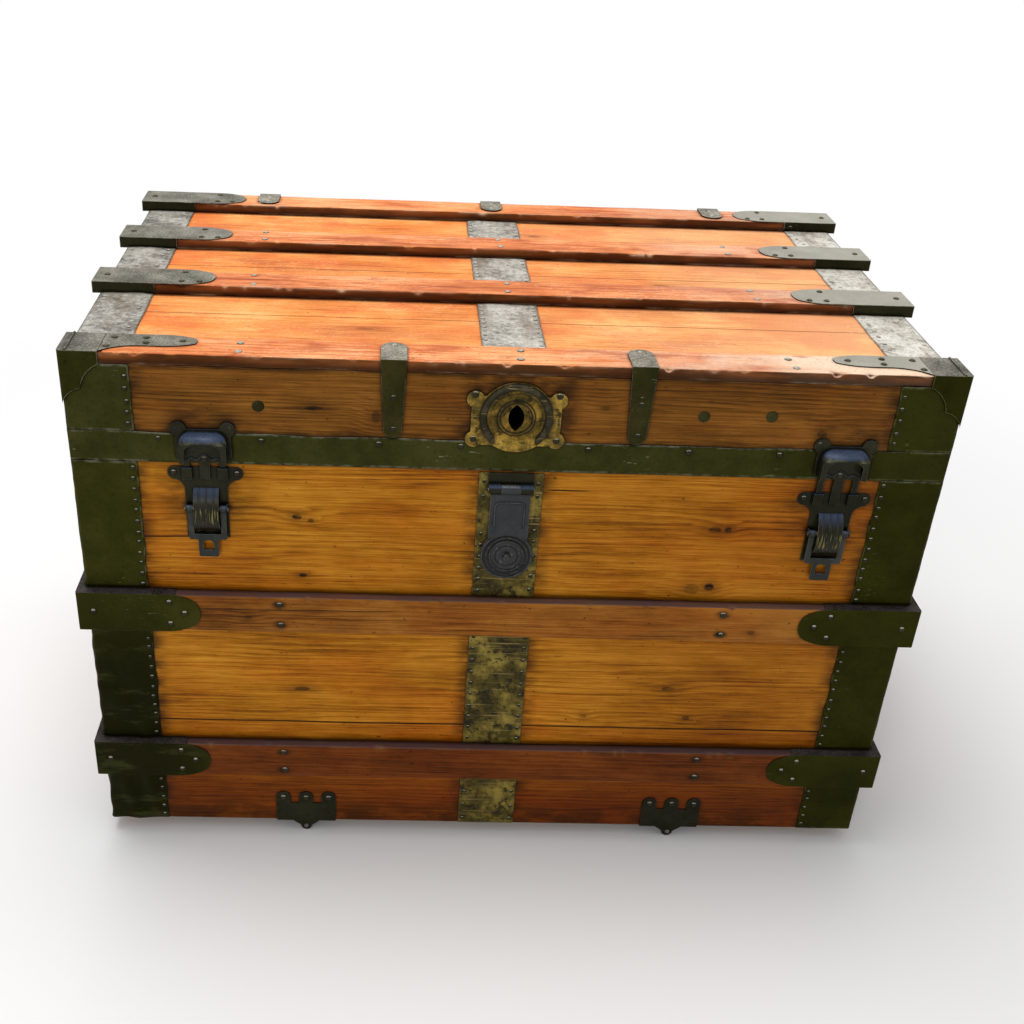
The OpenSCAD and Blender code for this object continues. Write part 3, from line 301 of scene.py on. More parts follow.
def front_stains_and_shade(f, p):
    """Black stains on a long side: beside the corner steel, the middle plates and the latches; along the
    bottom the blackening is partly painted shade.
    """
    rag = f.step(f.noise(p, (24, 60, 60), 4, 0.62), 0.34, 0.60, 0.15, 1.0)
    side = f.math("ABSOLUTE", f.x)
    # Along the bottom (z below 0.06) the blackening is partly painted shade.
    edges = f.most(f.step(side, 0.350, 0.369, 0, 0.8), f.step(side, 0.050, 0.032, 0, 0.75),
                   f.step(f.z, 0.060, 0.018, 0, 0.8),
                   f.step(f.far((0, 0, 0.135), (0, 0, 0.012)), 1.0, 0.1, 0, 0.4))
    latches = f.most(*[f.step(f.far((x, 0, z), (0.06, 0, 0.05)), 1.1, 0.5, 0, 0.6)
                       for x, z in ((latch_left, 0.445), (latch_right, 0.440))])
    outside = f.step(f.math("ABSOLUTE", f.y), 0.2655, 0.2690)
    return f.times(f.most(edges, latches), rag, outside)


def front_shade(f, colour):
    """The boards go dark and red towards the bottom, partly floor damp and partly painted shade,
    and browner to the right, which is painted shade."""
    # Darker and redder low down: partly damp, partly painted shade.
    low = f.step(f.swing(f.noise(f.at, (5, 5, 5), 2), 0.05, f.z), 0.15, 0.05)
    colour = f.mix(f.times(low, 0.9), colour, (0.40, 0.22, 0.14), "MULTIPLY")
    colour = f.mix(f.step(f.z, 0.162, 0.156, 0, 0.5), colour, (0.78, 0.55, 0.40), "MULTIPLY")
    # Browner to the right: painted shade.
    return f.mix(f.step(f.x, -0.15, 0.42, 0, 0.8), colour, (0.72, 0.60, 0.45), "MULTIPLY")


amber = ((0.100, 0.024, 0.0010), (0.385, 0.137, 0.0040), (0.620, 0.272, 0.0240))
bottom_tones = ((0.14, 0.065, 0.020), (0.40, 0.22, 0.09), (0.56, 0.36, 0.18))
low_seam = (0.160, 0.0012)
front_knots = (
    (-0.213, 0.420, 0.007, 0.0045, 1), (-0.199, 0.416, 0.004, 0.003, 0.9), (-0.208, 0.351, 0.006, 0.003, 1),
    (0.2115, 0.4165, 0.009, 0.005, 0.9), (0.225, 0.417, 0.005, 0.004, 1), (0.2155, 0.348, 0.007, 0.006, 1),
    (0.198, 0.345, 0.011, 0.009, 0.6), (-0.211, 0.205, 0.012, 0.004, 0.8), (0.190, 0.215, 0.010, 0.004, 0.8),
    (0.215, 0.175, 0.006, 0.004, 0.8), (0.10, 0.175, 0.005, 0.004, 0.6),
)
back_knots = ((-0.24, 0.36, 0.010, 0.006, 1), (0.12, 0.20, 0.009, 0.006, 1))
end_knots = ((-0.10, 0.385, 0.009, 0.006, 1), (0.12, 0.21, 0.010, 0.006, 1))
case_front = wood("case_front_pine", "X", "Z", amber, front_knots, front_stains_and_shade, seams=(low_seam,),
                  cracks=((0.3935, 0.0009, -0.372, -0.30), (0.4585, 0.0009, 0.036, 0.085)),
                  shade=front_shade, depth=0.0009)
case_back = wood("case_back_pine", "X", "Z", amber, back_knots, front_stains_and_shade,
                 seams=(low_seam, (0.330, 0.001)), shade=front_shade)
case_end = wood("case_end_pine", "Y", "Z", amber, end_knots, seams=(low_seam, (0.3965, 0.0007)),
                shade=front_shade)
case_inside = wood("case_bottom_pine", "X", "Y", bottom_tones, ((0.2, 0.08, 0.01, 0.008, 1),),
                   seams=((-0.13, 0.0012), (0.05, 0.0012)), coat=0.0, roughness=0.6)
wear_on(case_front, "case_front")
wear_on(case_back, "case_back")
wear_on(case_end, "case_left", "case_right")
wear_on(case_inside, "case_bottom")

# The corner bindings: thin sheet steel bent round each upright corner of the case and tacked
# down along both edges, in three lengths between the slats. Kicks have dented them, worst low
# on the left front corner. The paint is dark olive, scratched, and thin where it was knocked.
half_w, half_d = 0.432, 0.270
case_low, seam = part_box("case_front")[0][2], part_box("case_front")[1][2]
low_slat, mid_slat = ([corner[2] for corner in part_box(name)] for name in ("low_slats", "mid_slats"))
upright_runs = ((case_low, low_slat[0]), (low_slat[1], mid_slat[0]), (mid_slat[1], seam - 0.0004))
binding_w, sheet, sheet_out, sheet_bend = 0.064, 0.0007, 0.0008, 0.0028


def ripple(a, b, size, seed):
    """Smooth unevenness over a and b, mostly from -1 to 1: sixteen cosine waves of about one
    size, each turned and shifted at random, added up."""
    rng = np.random.default_rng(seed)
    turn, shift = rng.uniform(0, 2 * np.pi, (2, 16))
    pace = 2 * np.pi / (size * rng.uniform(0.7, 1.9, 16))
    waves = np.multiply.outer(a, pace * np.cos(turn)) + np.multiply.outer(b, pace * np.sin(turn)) + shift
    return np.cos(waves).sum(-1) / 5.6


def grid_faces(rows, columns, first=0, closed=False):
    """Quads between neighbouring points of a grid; closed joins the last column to the first."""
    i, j = np.meshgrid(np.arange(rows - 1), np.arange(columns if closed else columns - 1), indexing="ij")
    here, k = i * columns, (j + 1) % columns
    return first + np.stack((here + j, here + k, here + columns + k, here + columns + j), -1).reshape(-1, 4)


def piece(name, points, faces, body, material):
    """A mesh object, riding on a body and shaded smooth."""
    mesh = bpy.data.meshes.new(name)
    mesh.from_pydata(points.reshape(-1, 3).tolist(), [], [f for block in faces for f in block.tolist()])
    mesh.shade_smooth()
    mesh.materials.append(material)
    made = bpy.data.objects.new(name, mesh)
    bpy.context.scene.collection.objects.link(made)
    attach(made, body)
    return made


def thicken(made):
    """Gives a sheet its thickness, inwards from the surface made."""
    wall = made.modifiers.new("wall", "SOLIDIFY")
    wall.thickness = sheet
    wall.offset = -1
    return made


def corner_sheet(name, runs, dents, body, material, seed):
    """Sheets round the four corners. A point at s along the sheet, measured from the corner,
    lies on one face, on the bend's arc, or on the other face; it stands out by the sheet's
    thickness and the dents, which fade where the tacks hold it. The edges wander a little."""
    blocks, faces, count = [], [], 0
    straight = binding_w + sheet_out - sheet_bend
    turn = sheet_bend * np.pi / 2
    for sx in (-1, 1):
        for sy in (-1, 1):
            for low, high in runs:
                z = np.linspace(low, high, max(6, int((high - low) / 0.0035)))[:, None]
                s = np.linspace(-1, 1, 52)[None, :] * (straight + turn / 2)
                seed += 1
                wander = 0.0005 * ripple(z * 0 + np.sign(s) * 7, z, 0.03, seed) * (np.abs(s) / straight) ** 8
                s = s + wander
                angle = np.clip((s + turn / 2) / turn, 0, 1) * np.pi / 2
                run_x = np.clip(-s - turn / 2, 0, None)
                run_y = np.clip(s - turn / 2, 0, None)
                held = np.clip((straight - np.abs(s) - 0.004) / 0.012, 0, 1)
                lift = held * dents(sx, sy, z) * np.clip(0.35 + ripple(s, z, 0.035, seed + 50), 0, 2)
                lift += 0.0001 * ripple(s, z, 0.012, seed + 90)
                reach = sheet_bend + lift
                x = half_w + sheet_out - sheet_bend - run_x + reach * np.sin(angle)
                y = half_d + sheet_out - sheet_bend - run_y + reach * np.cos(angle)
                blocks.append(np.stack(np.broadcast_arrays(sx * x, sy * y, z), -1).reshape(-1, 3))
                quads = grid_faces(*(s + z).shape, first=count)
                faces.append(quads[:, ::-1] if sx * sy > 0 else quads)
                count += len(blocks[-1])
    return thicken(piece(name, np.concatenate(blocks), faces, body, material))


def painted_steel(name, paint, thin, top=(0.30, 0.29, 0.25), crumple=0.0, metal=0.0, rough=0.42,
                  top_amount=1.0, tint=(1.0, 0.95, 0.25), specular=0.05, scratches=0.6,
                  bare=(0.16, 0.155, 0.085), sky=0.0, shade=None, late=None, edges=0.7):
    """Painted sheet: clouds from paint to thin paint with fine dirt over them, a few slanting
    scratches, edges rubbed bare (which also stand in for painted highlights on the edges), and a
    top colour where it looks up, partly chalky weathering and partly painted sunlight, with a
    painted pale rim. sky paints a blue reflection of the sky on the upper curves; shade goes on
    before the sky and top colours and late goes on last."""
    f = Finish(name)
    cloud = f.noise(f.at, (13, 13, 13), 5, 0.62)
    dirt = f.noise(f.at, (240, 240, 240), 3, 0.6)
    colour = f.mix(f.step(cloud, 0.34, 0.68), paint, thin)
    colour = f.mix(f.step(dirt, 0.50, 0.78, 0, 0.5), colour, darker(paint, 0.35))
    slants = ((0.5, (60, 520, 330), 0.675), (-0.8, (80, 460, 280), 0.68), (1.4, (70, 500, 380), 0.685))
    lines = f.most(*[f.step(f.noise(f.at, scale, 3, 0.6, turn=(turn, turn, turn)), least, least + 0.03)
                     for turn, scale, least in slants])
    where = f.step(f.noise(f.at, (11, 11, 11), 3, move=(3, 1, 7)), 0.53, 0.66)
    lines = f.times(lines, where, scratches)
    rounded, edge = f.edge(0.0006 if edges < 1 else 0.0013)
    chip = f.step(f.noise(f.at, (90, 90, 90), 4, 0.7), 0.62 - 0.3 * edges, 0.76 - 0.2 * edges)
    chip = f.times(edge, chip, edges)
    # Bare edges: partly rubbed, partly painted highlight.
    colour = f.mix(f.most(chip, lines), colour, bare)
    if shade is not None:
        colour = shade(f, colour)
    # Painted reflection of blue sky on the upper curves.
    if sky:
        colour = f.mix(f.times(f.facing(2, 0.30, 0.85), sky), colour, (0.060, 0.090, 0.165))
    # The top colour where it looks up is partly weathering, partly painted sunlight.
    if top_amount:
        speck = f.swing(f.noise(f.at, (480, 480, 480), 4, 0.7), 1.4, f.noise(f.at, (34, 34, 34), 5, 0.6))
        grey = f.ramp(speck, (0.26, darker(top, 0.35)), (0.5, top), (0.74, paler(top, 1.9)))
        # Pale rims on the tops: partly rubbed bare, partly painted highlight.
        grey = f.mix(chip, grey, paler(top, 2.6))
        colour = f.mix(f.times(f.facing(2), top_amount), colour, grey)
    # Darker in corners and beside raised parts: partly dirt, partly painted shade.
    colour = f.mix(f.times(f.crevice_dirt_and_shade(0.004, 0.70), 0.9), colour, darker(paint, 0.2))
    if late is not None:
        colour = late(f, colour)
    height = f.math("MULTIPLY_ADD", cloud, 0.6 + crumple, f.times(dirt, 0.25))
    height = f.math("MULTIPLY_ADD", lines, -0.3, height)
    gloss = f.step(cloud, 0.3, 0.7, rough - 0.06, rough + 0.14)
    return f.finish(colour, gloss, height, 0.0004, rounded, metallic=metal, specular=specular, tint=tint)


def right_shade(f, colour):
    """Painted shade: darker and deeper green to the right."""
    return f.mix(f.step(f.x, 0.05, 0.42, 0, 0.85), colour, (0.52, 0.58, 0.25), "MULTIPLY")


def kicked_shade(f, colour):
    """Black low on the left front corner, with pale green streaks there that are painted reflections off the
    crumpled sheet; deeper green to the right, painted shade.
    """
    low = f.step(f.swing(f.noise(f.at, (14, 14, 14), 4), 0.12, f.z), 0.33, 0.20)
    worst = f.times(low, f.step(f.x, -0.28, -0.36))
    colour = f.mix(f.times(worst, 0.8), colour, (0.0032, 0.0036, 0.0012))
    # Pale green streaks on the crumpled corner: painted reflection.
    smear = f.step(f.noise(f.at, (16, 16, 60), 5, 0.65, turn=(0, 0.5, 0)), 0.53, 0.66)
    colour = f.mix(f.times(worst, smear, f.step(f.y, -0.1, -0.2), 0.45), colour, (0.050, 0.055, 0.016))
    return right_shade(f, colour)


olive = (0.021, 0.0215, 0.0030)
kicked = painted_steel("kicked_olive_paint", olive, (0.044, 0.042, 0.0075), crumple=5.0, shade=kicked_shade)


def case_dents(sx, sy, z):
    """How far the case's bindings are knocked out of flat, in metres, by corner and height."""
    worst = np.clip((0.30 - z) / 0.2, 0, 1) if sx < 0 and sy < 0 else 0 * z
    return 0.0003 + 0.0022 * worst


case_bindings = corner_sheet("case_corner_sheets", upright_runs, case_dents, "case", kicked, 100)
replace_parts(case_bindings, "case_bindings")


def bright_crown(f, colour):
    """Heads painted pale where they look up, a painted highlight for their glints, over a rusty rim."""
    crown = f.mix(f.noise(f.at, (500, 500, 500), 2), (0.10, 0.095, 0.07), (0.62, 0.60, 0.52))
    return f.mix(f.facing(2, 0.42, 0.62), colour, crown)


tack_steel = painted_steel("rusty_tacks", (0.012, 0.012, 0.005), (0.034, 0.030, 0.014), rough=0.13,
                           scratches=0.0, specular=0.12, top_amount=0.0, tint=(1, 0.95, 0.8),
                           late=bright_crown)


def studs(name, places, outward, radius, rise, body, seed, material=tack_steel):
    """Nail heads. Each is four rings of ten points, whose radius falls and height climbs as on a
    cap of a ball, then a tip and a flat foot; its size and its lean are a little random."""
    rng = np.random.default_rng(seed)
    places = np.asarray(places, float)
    n = len(places)
    outward = np.broadcast_to(np.asarray(outward, float), (n, 3)) + rng.normal(0, 0.06, (n, 3))
    outward = outward / np.linalg.norm(outward, axis=1)[:, None]
    side = np.cross(outward, (0.31, 0.55, 0.77))
    side = side / np.linalg.norm(side, axis=1)[:, None]
    ring, lift = np.array((1.0, 0.95, 0.72, 0.38)), np.array((0.0, 0.40, 0.80, 0.97))
    turn = np.arange(10) * 2 * np.pi / 10
    local = np.stack((np.outer(ring, np.cos(turn)), np.outer(ring, np.sin(turn)),
                      np.outer(lift, np.ones(10))), -1).reshape(-1, 3)
    local = np.concatenate((local, [[0, 0, 1], [0, 0, 0]]))
    size = np.stack((radius * rng.uniform(0.9, 1.1, n),) * 2 + (rise * rng.uniform(0.8, 1.2, n),), -1)
    frame3 = np.stack((side, np.cross(outward, side), outward), 1)
    points = places[:, None] + np.einsum("nk,pk,nkj->npj", size, local, frame3)
    i = np.arange(10)
    k = (i + 1) % 10
    tips = np.concatenate((np.stack((30 + i, 30 + k, 40 + 0 * i), -1), np.stack((k, i, 41 + 0 * i), -1)))
    step = np.arange(n)[:, None, None] * len(local)
    quads = (grid_faces(4, 10, closed=True)[None] + step).reshape(-1, 4)
    return piece(name, points, [quads, (tips[None] + step).reshape(-1, 3)], body, material)


def spaced(low, high, pitch, seed=0, jitter=0.0012):
    """Places from low to high about pitch apart, each a little off."""
    count = max(2, int(round((high - low) / pitch)) + 1)
    return np.linspace(low, high, count) + np.random.default_rng(seed).uniform(-jitter, jitter, count)


def corner_tacks(runs, pitch, inset, seed):
    """Places and directions of the tacks along both edges of the four corner sheets."""
    places, outward = [], []
    for sx in (-1, 1):
        for sy in (-1, 1):
            for low, high in runs:
                seed += 1
                z = spaced(low + 0.006, high - 0.006, pitch, seed)
                rng = np.random.default_rng(seed + 500)
                x = sx * (half_w - binding_w + inset + rng.uniform(-0.0006, 0.0006, len(z)))
                y = sy * (half_d - binding_w + inset + rng.uniform(-0.0006, 0.0006, len(z)))
                places += [np.stack((x, z * 0 + sy * (half_d + 0.0006), z), -1),
                           np.stack((z * 0 + sx * (half_w + 0.0006), y, z), -1)]
                outward += [np.tile((0, sy, 0), (len(z), 1)), np.tile((sx, 0, 0), (len(z), 1))]
    return np.concatenate(places), np.concatenate(outward)


places, outward = corner_tacks(upright_runs, 0.0122, 0.005, 300)
studs("case_binding_tacks", places, outward, radius=0.0023, rise=0.0013, body="case", seed=1)

# The slats round the case: hardwood battens on edge, front and back ones over the ends of the
# side ones, nailed through the boards. Their arrises are rounded by use and nicked, and the
# ledge that looks up is painted purple-grey, a painted reflection of the sky.


def tube_ends(rows, columns):
    """Triangles that close both ends of a tube of rows, each to one more point after its grid."""
    j = np.arange(columns)
    k, last, tip = (j + 1) % columns, (rows - 1) * columns, rows * columns
    return np.concatenate((np.stack((k, j, tip + 0 * j), -1),
                           np.stack((last + j, last + k, tip + 1 + 0 * j), -1)))


def worn_bar(low, high, axis, radius, seed, chips, chip_corner):
    """A batten between two corners of its box, along axis 0 or 1. The section is a rounded
    rectangle, smaller at the very ends; slow waves move each point of it, and chips pull the
    points near one arris inwards by a bell curve along the length. Also gives how rubbed each
    point is: 1 on an arris or in a chip, falling away like a bell."""
    low, high = np.asarray(low, float), np.asarray(high, float)
    across = 1 - axis
    half = np.array((high[across] - low[across], high[2] - low[2])) / 2
    middle = np.array((high[across] + low[across], high[2] + low[2])) / 2
    signs = np.array(((1, 1), (-1, 1), (-1, -1), (1, -1)))
    turn = np.arange(4)[:, None] * np.pi / 2 + np.linspace(0, np.pi / 2, 6)
    arcs = (signs * (half - radius))[:, None] + radius * np.stack((np.cos(turn), np.sin(turn)), -1)
    flat_step = np.linspace(0, 1, 7)[None, 1:-1, None]
    sides = arcs[:, -1:] + (np.roll(arcs, -1, 0)[:, :1] - arcs[:, -1:]) * flat_step
    section = np.concatenate((arcs, sides), 1).reshape(-1, 2)
    along = np.linspace(low[axis], high[axis], int((high[axis] - low[axis]) / 0.0022))
    end = np.minimum(along - low[axis], high[axis] - along)[:, None, None]
    shrink = radius - np.sqrt(np.clip(radius ** 2 - np.clip(radius - end, 0, None) ** 2, 0, None))
    grid = section * np.ones((len(along), 1, 1))
    grid = grid - np.sign(section) * np.minimum(np.abs(section), shrink)
    angle = np.arctan2(section[:, 1], section[:, 0])[None, :] * 0.05
    drift = ripple(along[:, None], angle, 0.09, seed) + 0.3 * ripple(along[:, None], angle, 0.02, seed + 1)
    grid += 0.0002 * (drift - 1.3)[:, :, None] * np.sign(section)
    apart = np.linalg.norm(section[:, None] - signs * half, axis=2)
    rub = np.exp(-(apart.min(1) / (0.9 * radius)) ** 2) * (0.55 + 0.45 * drift)
    corner = np.array((1 if chip_corner[0] else -1, 1 if chip_corner[1] else -1))
    near = np.exp(-(np.linalg.norm(section - corner * half, axis=1) / 0.0030) ** 2)
    rng = np.random.default_rng(seed)
    for _ in range(chips):
        centre = rng.uniform(along[8], along[-8])
        width, depth = rng.uniform(0.0015, 0.006), rng.uniform(0.0006, 0.0020)
        bell = np.exp(-(np.abs(along - centre) / width) ** 2.5)[:, None]
        grid -= (depth * bell * near)[:, :, None] * corner * (np.abs(section) > 0.4 * half)
        rub = np.maximum(rub, 1.1 * bell * near)
    points = np.empty(grid.shape[:2] + (3,))
    points[..., axis] = along[:, None]
    points[..., across] = middle[0] + grid[..., 0]
    points[..., 2] = middle[1] + grid[..., 1]
    quads = grid_faces(*points.shape[:2], closed=True)
    caps = tube_ends(*points.shape[:2])
    points = np.concatenate((points.reshape(-1, 3), points[[0, -1]].mean(1)))
    rub = np.concatenate((np.clip(rub, 0, 1).reshape(-1), (0.3, 0.3)))
    return (points, quads, caps, rub) if axis == 0 else (points, quads[:, ::-1], caps[:, ::-1], rub)


def battens(name, bars, body, material):
    """Several worn bars as one piece, with how rubbed they are in its attribute rubbed."""
    points, faces, rubs, count = [], [], [], 0
    for bar in bars:
        shape, quads, caps, rub = worn_bar(**bar)
        points.append(shape)
        rubs.append(rub)
        faces += [quads + count, caps + count]
        count += len(shape)
    made = piece(name, np.concatenate(points), faces, body, material)
    made.data.attributes.new("rubbed", "FLOAT", "POINT").data.foreach_set("value", np.concatenate(rubs))
    return made


slat_nail = 0.232
slat_middles = (sum(low_slat) / 2, sum(mid_slat) / 2)


def slat_shade(f, colour):
    """Painted reflection of the sky on the ledge that looks up, and darker towards the bottom, partly painted
    shade.
    """
    # Darker towards the bottom: partly painted shade.
    low = f.step(f.z, 0.20, 0.13)
    colour = f.mix(f.times(low, 0.9), colour, (0.46, 0.25, 0.17), "MULTIPLY")
    nails = f.most(*[f.step(f.far((x, 0, z), (0.011, 0, 0.0075)), 1.0, 0.25)
                     for x in (-slat_nail, slat_nail) for z in (0.1005, 0.1255, 0.2965, 0.3215)])
    rag = f.step(f.noise(f.at, (60, 60, 160), 3), 0.30, 0.60, 0.3, 0.95)
    colour = f.mix(f.times(nails, rag, f.facing(1, -0.4, -0.8)), colour, (0.012, 0.005, 0.0015))
    # Purple-grey on the ledge that looks up: painted reflection of the sky.
    sky_sheen = f.times(f.facing(2, 0.4, 0.8), f.step(f.noise(f.at, (20, 90, 90), 4), 0.25, 0.6, 0.75, 1.0))
    return f.mix(f.times(sky_sheen, 0.85), colour, (0.085, 0.060, 0.066))


slat_tones = ((0.075, 0.020, 0.0015), (0.235, 0.078, 0.0075), (0.36, 0.145, 0.022))
slat_looks = dict(pitch=0.005, blotch=0.8, shade=slat_shade, worn=(0.24, 0.11, 0.035), rubbed=True)
slat_knots = ((-0.265, 0.305, 0.006, 0.004, 0.6), (0.265, 0.30, 0.006, 0.004, 0.6))
case_slat_wood = wood("case_slat_wood", "X", "Z", slat_tones, slat_knots,
                      cracks=((0.316, 0.0006, -0.29, -0.10),), **slat_looks)
case_slat_side = wood("case_slat_end_wood", "Y", "Z", slat_tones, **slat_looks)
for name, (low, high), seed in (("low", low_slat, 11), ("mid", mid_slat, 21)):
    reach_x, reach_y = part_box(name + "_slats")[1][:2]
    long_bars, side_bars = [], []
    for k, side in enumerate((-1, 1)):
        near, far = sorted((side * half_d, side * reach_y))
        long_bars.append(dict(low=(-reach_x, near, low), high=(reach_x, far, high), axis=0, radius=0.0016,
                              seed=seed + k, chips=16, chip_corner=(side > 0, 1)))
        near, far = sorted((side * half_w, side * reach_x))
        side_bars.append(dict(low=(near, -half_d, low), high=(far, half_d, high), axis=1, radius=0.0016,
                              seed=seed + 5 + k, chips=8, chip_corner=(side > 0, 1)))
    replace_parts(battens(name + "_slats_long", long_bars, "case", case_slat_wood), name + "_slats")
    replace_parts(battens(name + "_slats_side", side_bars, "case", case_slat_side), name + "_slats")

nails, outward, pair = [], [], 0.0125
for sy in (-1, 1):
    for middle in slat_middles:
        for x in (-slat_nail, slat_nail):
            y = sy * (half_d + 0.0125)
            nails += [(x, y, middle + pair), (x + 0.001, y, middle - pair)]
            outward += [(0, sy, 0)] * 2
for sx in (-1, 1):
    for middle in slat_middles:
        x = sx * (half_w + 0.0080)
        nails += [(x, 0.002, middle + pair), (x, 0.0, middle - pair)]
        outward += [(sx, 0, 0)] * 2
studs("case_slat_nails", nails, outward, radius=0.0034, rise=0.0016, body="case", seed=2)

# The corner clamps: channels of sheet steel pressed over the slats at each corner, with a blunt
# tip on each arm. Four domed nails hold an arm. The tops are as black as the ledges beside them.
clamp_paint = painted_steel("clamp_paint", olive, (0.042, 0.040, 0.0070), top=(0.040, 0.034, 0.034),
                            shade=kicked_shade)
wear_on(clamp_paint, "mid_slat_clamps", "low_slat_clamps")
wear_on(tack_steel, "case_clamp_nails")

# The middle plates and the lock's back plate: thin brass-plated sheet nailed down the centre of
# the front and back. The plating has gone olive, with black blotches and a few gold scrapes.


keyhole_z = 0.536


def tarnished_brass(name, gold=(0.27, 0.20, 0.040), olive_tone=(0.080, 0.060, 0.011), size=34, rings=()):
    """Noise in three layers: gold, olive tarnish over it, black spots and fine scratches over
    both. rings are radii round the keyhole where dirt has settled in a step of the pressing."""
    f = Finish(name)
    cloud = f.noise(f.at, (size, size, size), 6, 0.70)
    colour = f.ramp(cloud, (0.36, (0.018, 0.015, 0.006)), (0.50, olive_tone), (0.66, gold))
    spots = f.noise(f.at, (105, 105, 105), 4, 0.7, move=(5, 2, 1))
    colour = f.mix(f.step(spots, 0.53, 0.63, 0, 0.85), colour, (0.010, 0.009, 0.005))
    lines = f.most(f.step(f.noise(f.at, (14, 300, 620), 2, turn=(0, 0.7, 0)), 0.66, 0.70),
                   f.step(f.noise(f.at, (10, 300, 700), 2, turn=(0, -0.3, 0)), 0.67, 0.71))
    normal, edge = f.edge(0.0006)
    rubbed = f.most(f.times(edge, f.step(spots, 0.56, 0.46), 0.7), f.times(lines, 0.55))
    colour = f.mix(rubbed, colour, (0.36, 0.27, 0.10))
    # Darker in corners and beside raised parts: partly dirt, partly painted shade.
    colour = f.mix(f.times(f.crevice_dirt_and_shade(0.004), 0.8), colour, (0.006, 0.005, 0.002))
    if rings:
        off = f.far((0, 0, keyhole_z), (1, 0, 1))
        colour = f.mix(f.step(off, 0.031, 0.024, 0, 0.75), colour, (0.55, 0.52, 0.36), "MULTIPLY")
    for radius in rings:
        near = f.step(f.apart(off, radius), 0.0014, 0.0002, 0, 0.9)
        colour = f.mix(near, colour, (0.008, 0.006, 0.003))
    height = f.math("MULTIPLY_ADD", spots, -0.5, f.math("MULTIPLY_ADD", lines, -0.3, cloud))
    return f.finish(colour, f.step(cloud, 0.3, 0.7, 0.5, 0.32), height, 0.0004, normal, metallic=0.3,
                    specular=0.2, tint=(1.0, 0.9, 0.6))


wear_on(tarnished_brass("tarnished_brass"), "centre_plates", "lock_plate")
plate_tacks, outward = [], []
for sy in (-1, 1):
    for sx in (-1, 1):
        for low, high, count in ((case_low, low_slat[0], 4), (low_slat[1], mid_slat[0], 10)):
            z = spaced(low + 0.007, high - 0.007, (high - low - 0.014) / (count - 1), 700 + count + sx)
            plate_tacks.append(np.stack((z * 0 + sx * 0.0275, z * 0 + sy * (half_d + 0.0006), z), -1))
            outward.append(np.tile((0, sy, 0), (count, 1)))
lock_columns = ((-0.0268, (0.466, 0.449, 0.406, 0.393, 0.379, 0.365, 0.352, 0.338)),
                (0.0272, (0.464, 0.450, 0.411, 0.398, 0.380, 0.357, 0.340)))
for x, column in lock_columns:
    z = np.array(column)
    plate_tacks.append(np.stack((z * 0 + x, z * 0 - half_d - 0.0006, z), -1))
    outward.append(np.tile((0, -1, 0), (len(z), 1)))
studs("centre_plate_tacks", np.concatenate(plate_tacks), np.concatenate(outward), radius=0.0021, rise=0.0011,
      body="case", seed=3)

# The rollers: solid steel wheels on short pins, in brackets of bent plate under the case's
# front and back. The black enamel is worn, and bare metal shows where the wheels run.
# Its bluish top colour and sky paint a reflection of the sky on what looks up.
black = painted_steel("black_enamel", (0.0055, 0.0062, 0.0022), (0.020, 0.020, 0.008),
                      top=(0.050, 0.065, 0.100), rough=0.24, specular=0.12, tint=(1, 0.95, 0.8),
                      bare=(0.13, 0.12, 0.075), sky=0.6, top_amount=0.5)
corners = ("front_left", "front_right", "back_left", "back_right")
wear_on(black, *["roller_bracket_" + corner for corner in corners])


def rubbed_steel(name, pale=(0.34, 0.33, 0.30), dark=(0.06, 0.055, 0.05), rust=(0.10, 0.045, 0.018),
                 metal=0.85):
    """Bare steel: dull grey in fine clouds with darker pits and a breath of rust."""
    f = Finish(name)
    cloud = f.noise(f.at, (70, 70, 70), 5, 0.65)
    pits = f.noise(f.at, (420, 420, 420), 3, 0.6)
    colour = f.mix(f.step(cloud, 0.36, 0.62), dark, pale)
    rusty = f.step(f.noise(f.at, (45, 45, 45), 4, move=(4, 0, 9)), 0.52, 0.68)
    colour = f.mix(f.times(rusty, 0.7), colour, rust)
    colour = f.mix(f.step(pits, 0.56, 0.70, 0, 0.7), colour, dark)
    normal, edge = f.edge(0.0004)
    colour = f.mix(f.times(edge, 0.5), colour, paler(pale, 1.6))
    height = f.math("MULTIPLY_ADD", pits, -0.6, cloud)
    return f.finish(colour, f.step(cloud, 0.3, 0.7, 0.55, 0.34), height, 0.0003, normal, metallic=metal)


steel = rubbed_steel("rubbed_steel")
wear_on(steel, "roller_pins", *["roller_" + corner for corner in corners])
rivets = [(x + dx, sy * (half_d + 0.0010), 0.0495)
          for x in (-0.209, 0.216) for dx in (-0.026, 0, 0.026) for sy in (-1, 1)]
studs("roller_bracket_rivets", rivets, [(0, np.sign(p[1]), 0) for p in rivets], radius=0.0036, rise=0.0016,
      body="case", seed=4)

# The handles' brackets: a square steel plate screwed to each end of the case, with two ears
# that carry the pin which the leather turns on.
wear_on(black, "handle_brackets_left", "handle_brackets_right")
pin_x, pin_y, pin_z = half_w + 0.0073, 0.075, 0.416
screws = [(sx * (half_w + 0.0015), sy * pin_y + dy, pin_z + dz) for sx in (-1, 1) for sy in (-1, 1)
          for dy in (-0.0125, 0.0125) for dz in (-0.0125, 0.0125)]
studs("handle_screws", screws, [(np.sign(p[0]), 0, 0) for p in screws], radius=0.0026, rise=0.0012,
      body="case", seed=5, material=steel)

# The handles: thick saddle leather, stitched double round a filler in the grip and looped
# over a pin at each end. It is nearly black with age, cracked, and rubbed brown at its edges.


